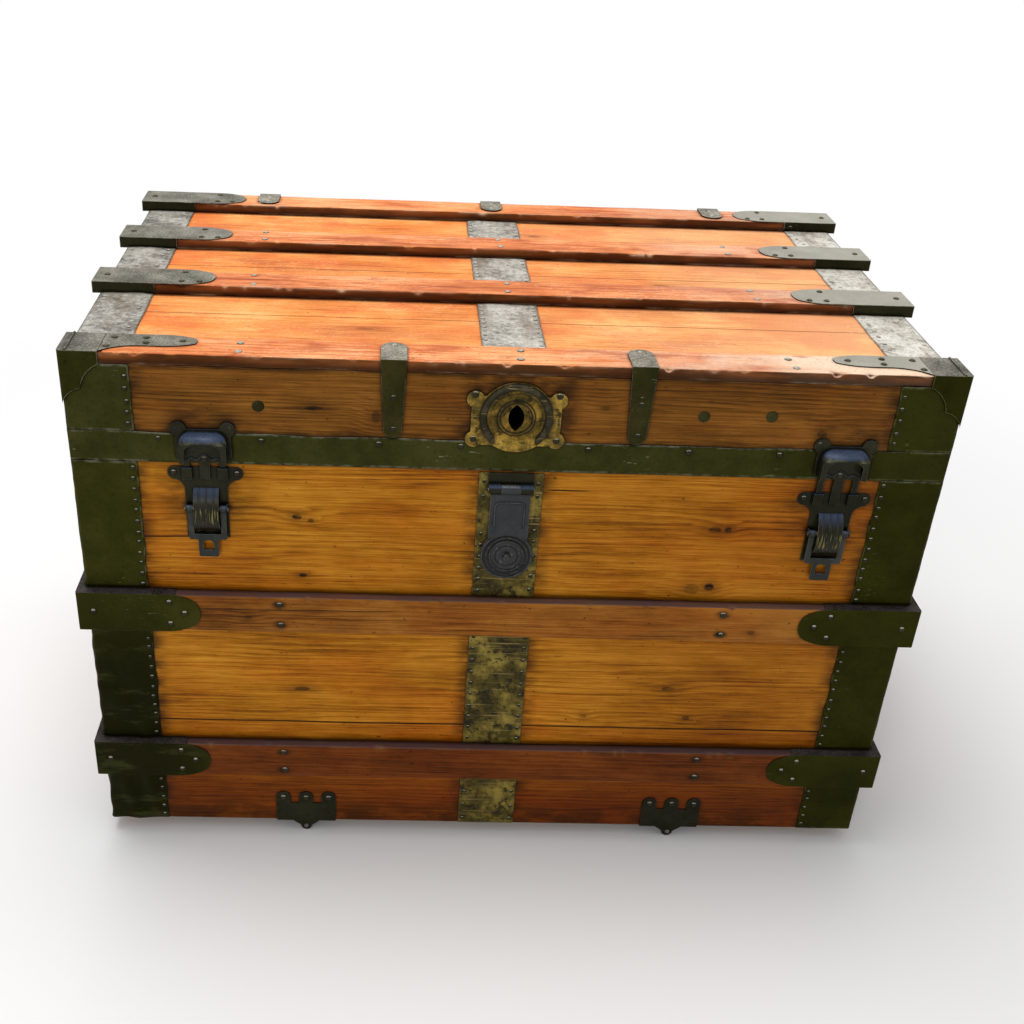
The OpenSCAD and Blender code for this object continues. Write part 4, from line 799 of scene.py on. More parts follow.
def saddle_leather(name):
    """Cells of grain and long cracks over slow clouds of wear."""
    f = Finish(name)
    cells, cracks = (f.add("ShaderNodeTexVoronoi", {"Vector": vector, "Scale": scale},
                           feature="DISTANCE_TO_EDGE").outputs[0]
                     for vector, scale in ((f.at, 950.0), (f.place(f.at, (160, 90, 260)), 1.0)))
    cracks = f.times(f.step(cracks, 0.06, 0.0), f.step(f.noise(f.at, (40, 40, 40), 3), 0.48, 0.62))
    cloud = f.noise(f.at, (30, 30, 30), 5, 0.65)
    colour = f.ramp(cloud, (0.32, (0.022, 0.009, 0.004)), (0.55, (0.070, 0.028, 0.011)),
                    (0.75, (0.145, 0.062, 0.024)))
    colour = f.mix(f.times(cracks, 0.8), colour, (0.010, 0.005, 0.003))
    normal, edge = f.edge(0.0015)
    colour = f.mix(f.times(edge, 0.5), colour, (0.20, 0.095, 0.04))
    height = f.math("MULTIPLY_ADD", f.step(cells, 0.0, 0.25), 0.4, cloud)
    height = f.math("MULTIPLY_ADD", cracks, -1.5, height)
    return f.finish(colour, f.step(cloud, 0.3, 0.7, 0.42, 0.62), height, 0.0004, normal, specular=0.4)


grip_z, bow_r = 0.370, 0.013


def strap_path():
    """The grip's centre line across and up, and the turn of its run from straight down: an arm
    down, a quarter circle, the grip, a quarter circle, an arm up."""
    arm, bow = np.linspace(0, 1, 14), np.linspace(0, np.pi / 2, 18)
    half, arm_low, arm_high = pin_y - bow_r, grip_z + bow_r, pin_z - 0.0035
    across = np.concatenate((arm * 0 - pin_y, -half - bow_r * np.cos(bow), np.linspace(-half, half, 52),
                             half + bow_r * np.sin(bow), arm * 0 + pin_y))
    up = np.concatenate((arm_high - (arm_high - arm_low) * arm, arm_low - bow_r * np.sin(bow),
                         np.full(52, grip_z), arm_low - bow_r * np.cos(bow),
                         arm_low + (arm_high - arm_low) * arm))
    turn = np.concatenate((arm * 0, bow, np.full(52, np.pi / 2), np.pi / 2 + bow, arm * 0 + np.pi))
    keep = np.concatenate(([True], np.hypot(np.diff(across), np.diff(up)) > 1e-6))
    return across[keep], up[keep], turn[keep]


def strap_width(turn):
    """Half the strap's width: 6 mm on the arms, 12 mm at the grip, eased by the turn."""
    part = np.sin(turn) ** 2
    return 0.006 + 0.006 * part * part * (3 - 2 * part)


leather = saddle_leather("saddle_leather")
thread = rubbed_steel("waxed_thread", (0.30, 0.24, 0.15), (0.10, 0.075, 0.045), (0.16, 0.11, 0.06), metal=0.0)


def bulge(wave, power):
    """A wave from -1 to 1 raised to a power, with its sign kept: it squares or rounds an outline."""
    return np.sign(wave) * np.abs(wave) ** power


def grip(sx):
    """The strap: along its path a section between an ellipse and a rectangle, fuller in the grip,
    with a groove under each row of stitches and slow unevenness. Gives points and faces."""
    across, up, turn = strap_path()
    wide = strap_width(turn)[:, None]
    angle = np.arange(36)[None, :] * 2 * np.pi / 36
    fullness = 2 / (3.6 - 1.1 * np.sin(turn)[:, None] ** 2)
    outer = bulge(np.cos(angle), fullness) * 0.0034
    inner = bulge(np.sin(angle), fullness) * wide
    groove = np.exp(-((np.abs(inner) - wide + 0.0028) / 0.0007) ** 2) * np.sin(turn)[:, None] ** 4
    outer = outer - 0.00035 * np.sign(outer) * groove
    y = across[:, None] + inner * np.cos(turn)[:, None]
    z = up[:, None] + inner * np.sin(turn)[:, None]
    x = pin_x + outer + 0.00015 * (ripple(y + z, outer * 8, 0.02, 40 + sx) - 1) * np.cos(angle)
    rows, columns = x.shape
    strap = np.stack((sx * x, y, z), -1).reshape(-1, 3)
    strap = np.concatenate((strap, [strap[:columns].mean(0), strap[-columns:].mean(0)]))
    return strap, [grid_faces(rows, columns, closed=True), tube_ends(rows, columns)]


def pin_loop(sx, end):
    """The loop round a pin: a squared ring's section carried round a circle at y = end."""
    ring, part = np.arange(28)[:, None] * 2 * np.pi / 28, np.arange(20)[None, :] * 2 * np.pi / 20
    reach = 0.00415 + 0.00118 * bulge(np.cos(part), 0.5)
    along = end + 0.0056 * bulge(np.sin(part), 0.5)
    loop = (sx * (pin_x + reach * np.cos(ring)), along, pin_z + reach * np.sin(ring))
    faces = grid_faces(29, 20, closed=True) % (28 * 20)
    return np.stack(np.broadcast_arrays(*loop), -1).reshape(-1, 3), faces[:, ::-1]


def one_stitch():
    """A stitch 3.2 mm long: five rings of six points, thin at the ends, closed by a point each."""
    length, ring = np.array((-1, -0.8, 0, 0.8, 1)), np.arange(6) * np.pi / 3
    girth = np.array((0.15, 0.75, 1, 0.75, 0.15))
    local = np.stack((np.outer(girth, np.cos(ring)) * 0.00042, np.repeat(length[:, None], 6, 1) * 0.0016,
                      np.outer(girth, np.sin(ring)) * 0.00045), -1).reshape(-1, 3)
    return np.concatenate((local, local[:6].mean(0)[None], local[24:].mean(0)[None]))


for side, sx in (("left", -1), ("right", 1)):
    strap, faces = grip(sx)
    points, count = [strap], len(strap)
    for end in (-pin_y, pin_y):
        loop, quads = pin_loop(sx, end)
        points.append(loop)
        faces.append(quads + count)
        count += len(loop)
    if sx > 0:
        faces = [block[:, ::-1] for block in faces]
    handle = "handle_" + side
    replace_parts(piece(handle + "_leather", np.concatenate(points), faces, handle, leather), handle)
    stitch = one_stitch()
    seats = np.array([(sx * (pin_x + face * 0.00335), y, grip_z + row * 0.0092)
                      for y in np.linspace(-0.058, 0.058, 27) for row in (-1, 1) for face in (-1, 1)])
    step = np.arange(len(seats))[:, None, None] * len(stitch)
    quads, ends = grid_faces(5, 6, closed=True)[:, ::-1], tube_ends(5, 6)[:, [1, 0, 2]]
    faces = [(quads[None] + step).reshape(-1, 4), (ends[None] + step).reshape(-1, 3)]
    piece(handle + "_stitches", seats[:, None] + stitch[None], faces, handle, thread)

# The lid boards: the top is pine that the sun has turned red-orange, with a worn, dried finish;
# its colours are painted bright as if sunlit, with painted highlight paler to the right and in
# patches. The rails under it are darker and browner, with black stains round the steel and
# painted shadow under the slat.
lid_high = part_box("lid_top")[1][2]


def glare_and_grit(f, colour, patches, pale, dark):
    """Fine pale specks in patches, a painted highlight for sun glare, then specks of a dark colour sunk in
    the grain.
    """
    glare_specks = f.times(f.step(f.noise(f.at, (160, 420, 420), 5, 0.75), 0.56, 0.66), patches)
    colour = f.mix(f.times(glare_specks, 0.6), colour, pale)
    grit, amount = dark
    return f.mix(f.step(f.noise(f.at, (300, 420, 420), 3, 0.7), 0.56, 0.70, 0, amount), colour, grit)


def top_shade(f, colour):
    """Painted highlight makes the top paler to the right and in patches; it is dark against the slats, partly
    dirt and partly painted shade.
    """
    red = f.step(f.noise(f.at, (9, 15, 15), 5, 0.65, move=(8, 2, 4)), 0.46, 0.64, 0, 0.75)
    colour = f.mix(red, colour, (0.66, 0.155, 0.045))
    patches = f.step(f.noise(f.at, (10, 16, 16), 3), 0.46, 0.62)
    colour = glare_and_grit(f, colour, patches, (0.84, 0.62, 0.42), ((0.30, 0.085, 0.030), 0.55))
    # Paler to the right: painted highlight.
    pale = f.times(f.step(f.swing(f.noise(f.at, (5, 8, 8), 4, 0.6), 0.5, f.x), -0.05, 0.40), 0.35)
    colour = f.mix(pale, colour, (0.86, 0.60, 0.34))
    # Darker against the slats: partly dirt, partly painted shade.
    beside = f.most(*[f.step(f.apart(f.y, y), 0.006, 0.001)
                      for y in (-0.2258, -0.078, -0.033, 0.077, 0.122, 0.225)])
    rag = f.step(f.noise(f.at, (14, 60, 60), 3), 0.35, 0.62)
    return f.mix(f.times(beside, rag, 0.55), colour, (0.30, 0.10, 0.04))


# The top's tones are painted bright, as if sunlit.
top_tones = ((0.42, 0.090, 0.022), (0.76, 0.275, 0.075), (0.90, 0.47, 0.17))
top_knots = ((0.18, 0.00, 0.012, 0.006, 0.6), (-0.15, -0.16, 0.014, 0.005, 0.5),
             (0.05, 0.17, 0.01, 0.005, 0.6))
lid_top = wood("lid_top_pine", "X", "Y", top_tones, top_knots,
               seams=((-0.13, 0.0007), (0.02, 0.0007)), blotch=0.75, depth=0.0005, coat=0.0, roughness=0.55,
               shade=top_shade, contrast=0.8)
rail_tones = ((0.030, 0.0095, 0.0010), (0.150, 0.052, 0.0045), (0.29, 0.115, 0.016))
rail_knots = ((-0.195, 0.5395, 0.012, 0.003, 1), (0.300, 0.527, 0.007, 0.005, 0.8),
              (0.41, 0.56, 0.01, 0.004, 0.5), (-0.135, 0.532, 0.006, 0.009, 0.7),
              (0.085, 0.548, 0.006, 0.004, 0.5))


def rail_stains_and_shade(f, p):
    """Black on a lid rail: stains above the band and round the lock and latches, stain and painted shadow
    under the slat, and painted shade in the keyhole's hole.
    """
    rag = f.step(f.noise(p, (22, 60, 60), 4, 0.62), 0.34, 0.62)
    side = f.math("ABSOLUTE", f.x)
    # The darkening just under the slat (z 0.5735 to 0.5785) is partly stain, partly painted shadow.
    edges = f.most(f.step(side, 0.348, 0.368, 0, 0.85), f.step(f.z, 0.5165, 0.5120, 0, 0.7),
                   f.step(f.z, 0.5735, 0.5785, 0, 0.8), f.step(side, 0.066, 0.048, 0, 0.8))
    latches = f.most(*[f.step(f.far((x, 0, 0.515), (0.05, 0, 0.03)), 1.1, 0.5, 0, 0.7)
                       for x in (latch_left, latch_right)])
    # Black in the keyhole's hole: painted shade.
    hole = f.step(f.far((0, 0, keyhole_z), (0.016, 0, 0.020)), 1.0, 0.85)
    return f.most(f.times(f.most(edges, latches), rag), hole)


lid_rail = wood("lid_rail_pine", "X", "Z", rail_tones, rail_knots, rail_stains_and_shade, pitch=0.0045)
lid_end = wood("lid_end_pine", "Y", "Z", rail_tones, ((0.06, 0.545, 0.012, 0.004, 1),), pitch=0.0045)
wear_on(lid_top, "lid_top")
wear_on(lid_rail, "lid_front", "lid_back")
wear_on(lid_end, "lid_left", "lid_right")

# The lid's band and corner bindings: olive painted sheet steel, the band nailed right round
# the rails just above the seam and the bindings tacked over its top edge at the corners.
band_low, band_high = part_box("lid_band")[0][2] + 0.0002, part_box("lid_band")[1][2]


def band_sheet(name, body, material, seed):
    """A strip round the whole lid. Its plan is a rectangle with round corners, walked by
    distance; it stands off by ripples, pulled in near its lower edge, and its top edge wanders."""
    flat = np.array((half_w, half_d)) + sheet_out - sheet_bend
    run = np.linspace(0, 1, 200, endpoint=False)[:, None]
    turn = np.linspace(0, np.pi / 2, 7, endpoint=False)[:, None]
    centres = flat * ((1, -1), (1, 1), (-1, 1), (-1, -1))
    loop = []
    for k in range(4):
        side = centres[k] + (centres[(k + 1) % 4] - centres[k]) * run
        for centre, angle in ((centres[k], turn + (k - 1) * np.pi / 2), (side, run * 0 + k * np.pi / 2)):
            facing = np.concatenate((np.cos(angle), np.sin(angle)), 1)
            loop.append(np.concatenate((centre + sheet_bend * facing, facing), 1))
    loop = np.concatenate(loop)
    walk = np.concatenate(([0], np.cumsum(np.linalg.norm(np.diff(loop[:, :2], axis=0), axis=1))))[None, :]
    up = np.linspace(0, 1, 10)[:, None]
    ease = np.sin(np.pi * walk / walk.max()) ** 0.2
    wander = up ** 6 * 0.0008 * (ease * ripple(walk, up * 0, 0.09, seed) - 1)
    z = band_low + up * (band_high - band_low) + wander
    slow, fine = ripple(walk, up * 0.03, 0.045, seed + 1), ripple(walk, up * 0.03, 0.012, seed + 2)
    lift = ease * (0.00022 * np.clip(1 + slow, 0, 3) * (0.3 + up) + 0.00006 * fine)
    x, y = loop[:, 0] + lift * loop[:, 2], loop[:, 1] + lift * loop[:, 3]
    points, faces = np.stack(np.broadcast_arrays(x, y, z), -1), [grid_faces(10, len(loop), closed=True)]
    return thicken(piece(name, points, faces, body, material))


band_paint = painted_steel("band_paint", (0.023, 0.024, 0.0050), (0.050, 0.048, 0.0125), crumple=1.5,
                           scratches=1.0, bare=(0.19, 0.19, 0.12), shade=right_shade)
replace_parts(band_sheet("lid_band_strip", "lid", band_paint, 800), "lid_band")
lid_runs = ((band_high - 0.0004, lid_high),)
lid_corners = corner_sheet("lid_corner_sheets", lid_runs, lambda sx, sy, z: 0.00022 + 0 * z, "lid",
                           band_paint, 400)
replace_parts(lid_corners, "lid_bindings")
places, outward = corner_tacks(((band_high + 0.001, lid_high - 0.006),), 0.0125, 0.005, 350)
studs("lid_binding_tacks", places, outward, radius=0.0023, rise=0.0013, body="lid", seed=6)
nail_z = 0.5035
front_x = (-0.3455, -0.246, -0.132, -0.052, 0.073, 0.172, 0.262, 0.352)
nails = [(x, -half_d - sheet_out, nail_z) for x in front_x]
nails += [(x, half_d + sheet_out, nail_z) for x in np.linspace(-0.35, 0.35, 8)]
nails += [(sx * (half_w + sheet_out), y, nail_z) for sx in (-1, 1) for y in np.linspace(-0.19, 0.19, 5)]
outward = [(0, -1, 0)] * 8 + [(0, 1, 0)] * 8 + [(-1, 0, 0)] * 5 + [(1, 0, 0)] * 5
studs("lid_band_nails", nails, outward, radius=0.0030, rise=0.0014, body="lid", seed=7)

# The sheets on the top: plain steel laid between the slats at the ends and down the middle,
# never painted well and now dull grey, painted paler to the right as a highlight, with rough-cut
# nailed edges.


def top_sheets(name, spans, gaps, body, material, seed):
    """Flat sheets over the top boards, lifted by ripples that fade towards their nailed edges.
    The two free edges wander by a slow wave."""
    blocks, faces, count = [], [], 0
    for x_low, x_high in spans:
        for y_low, y_high in gaps:
            seed += 1
            u = np.linspace(0, 1, max(12, int((x_high - x_low) / 0.0025)))[:, None]
            v = np.linspace(0, 1, max(12, int((y_high - y_low) / 0.003)))[None, :]
            x, y = x_low + u * (x_high - x_low), y_low + v * (y_high - y_low)
            free = (1 - u) ** 6 * (x_low > -half_w + 0.001) - u ** 6 * (x_high < half_w - 0.001)
            x = x + free * 0.00035 * (ripple(y, u * 0, 0.035, seed) + 0.9)
            held = np.clip(np.minimum(u, 1 - u) * (x_high - x_low) / 0.012, 0, 1)
            z = lid_high + sheet_out + held * 0.0005 * np.clip(ripple(x, y, 0.04, seed + 40) + 0.7, 0, 3)
            z = z + 0.00007 * ripple(x, y, 0.011, seed + 80)
            blocks.append(np.stack(np.broadcast_arrays(x, y, z), -1).reshape(-1, 3))
            faces.append(grid_faces(u.size, v.size, first=count)[:, ::-1])
            count += len(blocks[-1])
    return thicken(piece(name, np.concatenate(blocks), faces, body, material))


def weathered_sheet(name):
    """Dull zinc-grey steel: pale and dark clouds, paler to the right as painted highlight, brown smears
    running across, fine black pits.
    """
    f = Finish(name)
    cloud = f.noise(f.at, (26, 26, 26), 6, 0.68)
    cloud = f.swing(f.noise(f.at, (150, 150, 150), 5, 0.75), 0.9, cloud)
    dull = f.ramp(cloud, (0.34, (0.075, 0.066, 0.052)), (0.5, (0.25, 0.232, 0.198)),
                  (0.68, (0.46, 0.44, 0.39)))
    painted_glare = f.ramp(cloud, (0.30, (0.20, 0.180, 0.150)), (0.5, (0.52, 0.485, 0.42)),
                   (0.68, (0.72, 0.69, 0.62)))
    # Paler to the right: painted highlight.
    colour = f.mix(f.step(f.x, -0.25, 0.28), dull, painted_glare)
    smear = f.times(f.step(f.noise(f.at, (55, 9, 20), 4, 0.6), 0.52, 0.70), 0.6)
    colour = f.mix(smear, colour, (0.17, 0.115, 0.07))
    pits = f.noise(f.at, (330, 330, 330), 3, 0.65)
    colour = f.mix(f.step(pits, 0.56, 0.68, 0, 0.65), colour, (0.04, 0.032, 0.024))
    normal, edge = f.edge(0.0006)
    colour = f.mix(f.times(edge, 0.45), colour, (0.06, 0.05, 0.035))
    height = f.math("MULTIPLY_ADD", pits, -0.5, cloud)
    return f.finish(colour, f.step(cloud, 0.3, 0.7, 0.62, 0.42), height, 0.0005, normal, metallic=0.15,
                    specular=0.4)


weathered = weathered_sheet("weathered_sheet")
slat_y = [[corner[1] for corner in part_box(f"lid_slat_{i}")] for i in (1, 2, 3, 4)]
gaps = [(slat_y[i][1] + 0.0004, slat_y[i + 1][0] - 0.0004) for i in (0, 1, 2)]
end_x, middle_x = 0.376, 0.032
end_spans, middle_spans = ((-half_w, -end_x), (end_x, half_w)), ((-middle_x, middle_x),)
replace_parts(top_sheets("lid_end_sheets_worn", end_spans, gaps, "lid", weathered, 900), "lid_end_sheets")
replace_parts(top_sheets("lid_centre_sheets_worn", middle_spans, gaps, "lid", weathered, 960),
            "lid_centre_sheets")
nails = []
for low, high in gaps:
    for sx in (-1, 1):
        y = spaced(low + 0.010, high - 0.010, 0.0185, int(1000 * high) + 300 + sx, 0.003)
        inset = np.where(np.arange(len(y)) % 2, 0.0075, 0.0115) if high > -0.05 else np.full(len(y), 0.0085)
        nails += [(sx * (end_x + d), a, lid_high + sheet_out) for a, d in zip(y, inset)]
        close = spaced(low + 0.007, high - 0.007, 0.0118, int(1000 * high) + 600 + sx, 0.001)
        nails += [(sx * (middle_x - 0.0045), a, lid_high + sheet_out) for a in close]
        nails += [(sx * (half_w - 0.0065), a, lid_high + sheet_out) for a in y[1::2]]
studs("lid_sheet_nails", nails, (0, 0, 1), radius=0.0024, rise=0.0012, body="lid", seed=8)

# The lid's slats: hardwood battens laid flat over the top and nailed through it. Their tops are
# painted bright and pale as if sunlit, hands have chipped the front edges to bare pale wood, whose
# pale arrises are partly painted highlight, and the upright faces are painted brown-black as shade.


def lid_slat_shade(f, colour):
    """Painted highlight makes the tops paler to the right, on the front slat and in patches; painted shade
    makes the upright faces brown-black, blacker low down.
    """
    front = f.step(f.y, -0.20, -0.23)
    # Paler to the right and on the front slat: painted highlight.
    glare_drift = f.swing(f.noise(f.at, (9, 18, 18), 5, 0.65), 0.55, f.x)
    pale = f.most(f.step(glare_drift, 0.06, 0.50, 0, 0.5), f.times(front, f.step(glare_drift, 0.04, 0.30, 0, 0.85)))
    colour = f.mix(pale, colour, (0.86, 0.68, 0.50))
    patches = f.step(f.noise(f.at, (12, 20, 20), 3), 0.46, 0.60)
    colour = glare_and_grit(f, colour, patches, (0.86, 0.66, 0.50), ((0.26, 0.060, 0.025), 0.5))
    stained = f.step(f.noise(f.at, (16, 40, 40), 4, 0.65, move=(2, 7, 1)), 0.52, 0.66, 0, 0.6)
    colour = f.mix(stained, colour, (0.36, 0.075, 0.030))
    # Brown-black upright faces, blacker low down: painted shade.
    upright = f.most(f.facing(1, -0.45, -0.85), f.facing(1, 0.45, 0.85))
    lighter = f.step(f.noise(f.at, (12, 60, 60), 4), 0.40, 0.66)
    dark = f.mix(lighter, (0.060, 0.018, 0.005), (0.20, 0.062, 0.018))
    dark = f.mix(f.step(f.z, 0.588, 0.581, 0, 0.85), dark, (0.016, 0.007, 0.004))
    return f.mix(f.times(upright, 0.96), colour, dark)


# The slat tops' tones are painted bright, as if sunlit; the pale worn edge colour is partly bare wood, partly
# painted highlight.
lid_slat_tones = ((0.26, 0.045, 0.012), (0.66, 0.195, 0.062), (0.86, 0.44, 0.21))
lid_slat_wood = wood("lid_slat_wood", "X", "Y", lid_slat_tones, blotch=0.7, pitch=0.008, wear=0.6,
                     worn=(0.70, 0.48, 0.32), coat=0.0, roughness=0.55, depth=0.0005,
                     shade=lid_slat_shade, rubbed=True)
for i, chips in ((1, 30), (2, 14), (3, 12), (4, 10)):
    low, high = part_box(f"lid_slat_{i}")
    bar = dict(low=low, high=high, axis=0, radius=0.0017, seed=40 + 7 * i, chips=chips, chip_corner=(0, 1))
    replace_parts(battens(f"lid_slat_{i}_worn", [bar], "lid", lid_slat_wood), f"lid_slat_{i}")
slat_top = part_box("lid_slat_1")[1][2]
nails = ((0.0028, -0.2365), (0.0015, -0.258), (-0.266, -0.2375), (-0.266, -0.2595),
         (0.263, -0.238), (0.266, -0.260), (-0.273, -0.0415), (-0.271, -0.0700),
         (0.002, -0.043), (0.001, -0.069), (0.270, -0.042), (0.272, -0.069),
         (-0.275, 0.114), (-0.274, 0.087), (0.001, 0.113), (0.003, 0.088),
         (0.271, 0.113), (0.273, 0.087), (-0.292, 0.236), (-0.290, 0.258),
         (0.0, 0.237), (0.002, 0.259), (0.290, 0.237), (0.288, 0.259))
studs("lid_slat_nails", [(x, y, slat_top - 0.0003) for x, y in nails], (0, 0, 1), radius=0.0034,
      rise=0.0013, body="lid", seed=9)

# The clamps, caps and straps over the slats: pressed steel. The paint is olive on the faces
# and almost gone on top, where the steel is grey with black pits and pale rubbed edges; the grey
# is partly painted sunlight, and the pale edges partly painted highlight.


def clamp_shade(f, colour):
    """Painted highlight: the tops paler to the right."""
    return f.mix(f.times(f.step(f.x, 0.1, 0.4), f.facing(2), 0.6), colour, (0.42, 0.40, 0.34))


# Its pale bare edges are partly rubbed and partly painted highlight; its grey top is partly painted sunlight.
lid_clamp = painted_steel("lid_clamp_paint", (0.010, 0.010, 0.0050), (0.026, 0.025, 0.012),
                          top=(0.150, 0.140, 0.115), rough=0.40, bare=(0.40, 0.38, 0.32), late=clamp_shade,
                          edges=1.0)
strap_paint = painted_steel("strap_paint", (0.020, 0.019, 0.0050), (0.050, 0.042, 0.014),
                            top=(0.19, 0.175, 0.14), scratches=0.8, bare=(0.30, 0.28, 0.22), edges=0.9)
cap_paint = painted_steel("cap_paint", (0.015, 0.0155, 0.0028), (0.034, 0.033, 0.0060),
                          top=(0.13, 0.12, 0.10), crumple=1.0, bare=(0.30, 0.285, 0.20), edges=1.0,
                          shade=right_shade)
rivet_heads = painted_steel("rivet_heads", (0.020, 0.020, 0.007), (0.050, 0.044, 0.017),
                            top=(0.12, 0.11, 0.08), top_amount=0.6)
wear_on(lid_clamp, "lid_slat_clamps")
wear_on(strap_paint, "lid_straps")
wear_on(cap_paint, "cap_left", "cap_right")
wear_on(rivet_heads, "lid_rivets")
strap_x, strap_y, strap_front = 0.119, -0.2345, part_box("lid_straps")[0][1]
places = [(sx * strap_x, strap_y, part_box("lid_straps")[1][2] - 0.0003) for sx in (-1, 1)]
places += [(sx * strap_x + 0.0007, strap_front + 0.0003, z) for sx in (-1, 1) for z in (0.5530, 0.5200)]
cap_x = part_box("cap_right")[1][0]
places += [(sx * (cap_x - 0.0003), y, 0.5650) for sx in (-1, 1) for y in (-0.262, -0.238)]
outward = [(0, 0, 1)] * 2 + [(0, -1, 0)] * 4 + [(-1, 0, 0)] * 2 + [(1, 0, 0)] * 2
studs("strap_and_cap_nails", places, outward, radius=0.0031, rise=0.0010, body="lid", seed=10)

# The flip-up latches: a plate with two pockets and a fluted spring on the case, a lever with a
# holed tab that turns on a pin, and a hooded plate with two prongs on the lid.
# Bluish top colour and sky: a painted reflection of the sky on what looks up.
painted_sky_gloss = dict(top=(0.06, 0.080, 0.130), tint=(1, 0.95, 0.8), sky=0.9, top_amount=0.5)
hood_paint = painted_steel("hood_enamel", (0.0055, 0.0060, 0.0030), (0.024, 0.024, 0.012), rough=0.22,
                           specular=0.12, bare=(0.20, 0.19, 0.12), **painted_sky_gloss)
# Its bluish top colour and sky paint a reflection of the sky on what looks up.
lever_steel = painted_steel("lever_enamel", (0.017, 0.020, 0.018), (0.046, 0.050, 0.044),
                            top=(0.10, 0.12, 0.15), rough=0.26, specular=0.14, tint=(1, 0.98, 0.9),
                            bare=(0.22, 0.21, 0.13), sky=0.6, top_amount=0.5, edges=0.9)
wear_on(black, "latch_plate_left", "latch_plate_right")
wear_on(lever_steel, "lever_left", "lever_right")


def arched_hood(side, x, plate_front):
    """The pressed arch on a latch's upper plate: the domed hood with its flat face cut out.
    The cut's outline runs up one side, over half an ellipse and down the other."""
    half, foot, spring, rise = 0.0178, 0.4785, 0.4955, 0.0085
    turn = np.linspace(0, np.pi, 25)
    across = np.concatenate(([x + half], x + half * np.cos(turn), [x - half]))
    up = np.concatenate(([foot], spring + rise * np.sin(turn), [foot]))
    n = len(across)
    rings = [np.stack((across, np.full(n, plate_front - out), up), axis=1) for out in (0.0006, 0.020)]
    around = np.arange(n)
    after = (around + 1) % n
    sides = np.stack((around, after, after + n, around + n), axis=1).tolist()
    ends = [around[::-1].tolist(), (around + n).tolist()]
    block = bpy.data.meshes.new(f"arch_cut_{side}")
    block.from_pydata(np.concatenate(rings).tolist(), [], sides + ends)
    cutter = bpy.data.objects.new(f"arch_cut_{side}", block)
    bpy.context.scene.collection.objects.link(cutter)
    form = bmesh.new()
    form.from_mesh(node[f"latch_hood_{side}"].data)
    bmesh.ops.remove_doubles(form, verts=form.verts, dist=1e-6)
    bmesh.ops.recalc_face_normals(form, faces=form.faces)
    mesh = bpy.data.meshes.new(f"arched_hood_{side}")
    form.to_mesh(mesh)
    form.free()
    mesh.materials.clear()
    mesh.materials.append(hood_paint)
    made = bpy.data.objects.new(f"arched_hood_{side}", mesh)
    bpy.context.scene.collection.objects.link(made)
    cut = made.modifiers.new("cut", "BOOLEAN")
    cut.operation, cut.solver, cut.object = "DIFFERENCE", "EXACT", cutter
    bpy.context.view_layer.update()
    done = bpy.data.meshes.new_from_object(made.evaluated_get(bpy.context.evaluated_depsgraph_get()))
    made.modifiers.clear()
    made.data = done
    bpy.data.objects.remove(cutter)
    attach(made, "lid")
    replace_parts(made, f"latch_hood_{side}")


def bead(name, path, radius, body, material):
    """A pressed bead: circles of one radius round the points of a path on the front, shrunk to
    nothing at its ends."""
    path = np.array(path, float)
    rows, columns = len(path), 8
    ahead = np.gradient(path, axis=0)
    ahead /= np.linalg.norm(ahead, axis=1)[:, None]
    out = np.array((0.0, -1.0, 0.0))
    side = np.cross(ahead, out)
    turn = np.linspace(0, 2 * np.pi, columns, endpoint=False)[None, :, None]
    from_end = np.minimum(np.arange(rows), np.arange(rows)[::-1])
    size = radius * np.sqrt(np.clip(from_end / 2, 0.02, 1))[:, None, None]
    points = path[:, None] + size * (np.cos(turn) * side[:, None] + np.sin(turn) * out)
    caps = np.stack((np.arange(columns), columns * rows - 1 - np.arange(columns)))
    faces = [grid_faces(rows, columns, closed=True)[:, ::-1], caps]
    return piece(name, points, faces, body, material)


lip_half = 0.021
for side, x in (("left", latch_left), ("right", latch_right)):
    arched_hood(side, x, -half_d - 0.0026)
    s = np.linspace(-1, 1, 41)
    hump, shoulders = np.exp(-(s * lip_half / 0.0052) ** 2), np.exp(-((np.abs(s) - 0.62) / 0.16) ** 2)
    lip = (x + lip_half * s, s * 0 - half_d - 0.0027, 0.4815 + 0.0065 * hump + 0.0028 * shoulders)
    bead(f"latch_lip_{side}", np.stack(lip, axis=1), 0.0011, "lid", hood_paint)


def flute_gilt(f, colour):
    """Thin upright streaks where the springs' flutes are rubbed to yellow metal, low on the bow,
    and painted shadow under the bow."""
    streak = f.step(f.noise(f.at, (620, 60, 34), 3, 0.6), 0.54, 0.62)
    low = f.most(*[f.step(f.far((x, 0, z), (0.030, 0, 0.011)), 1.0, 0.5)
                   for x, z in ((latch_left, 0.423), (latch_right, 0.412))])
    foot = f.most(*[f.step(f.far((x, 0, z), (0.020, 0, 0.009)), 1.3, 0.6)
                    for x, z in ((latch_left, 0.402), (latch_right, 0.391))])
    # Dark under the bow: painted shadow.
    colour = f.mix(f.times(foot, 0.85), colour, (0.004, 0.004, 0.002))
    return f.mix(f.times(streak, low, 0.75), colour, (0.27, 0.23, 0.06))


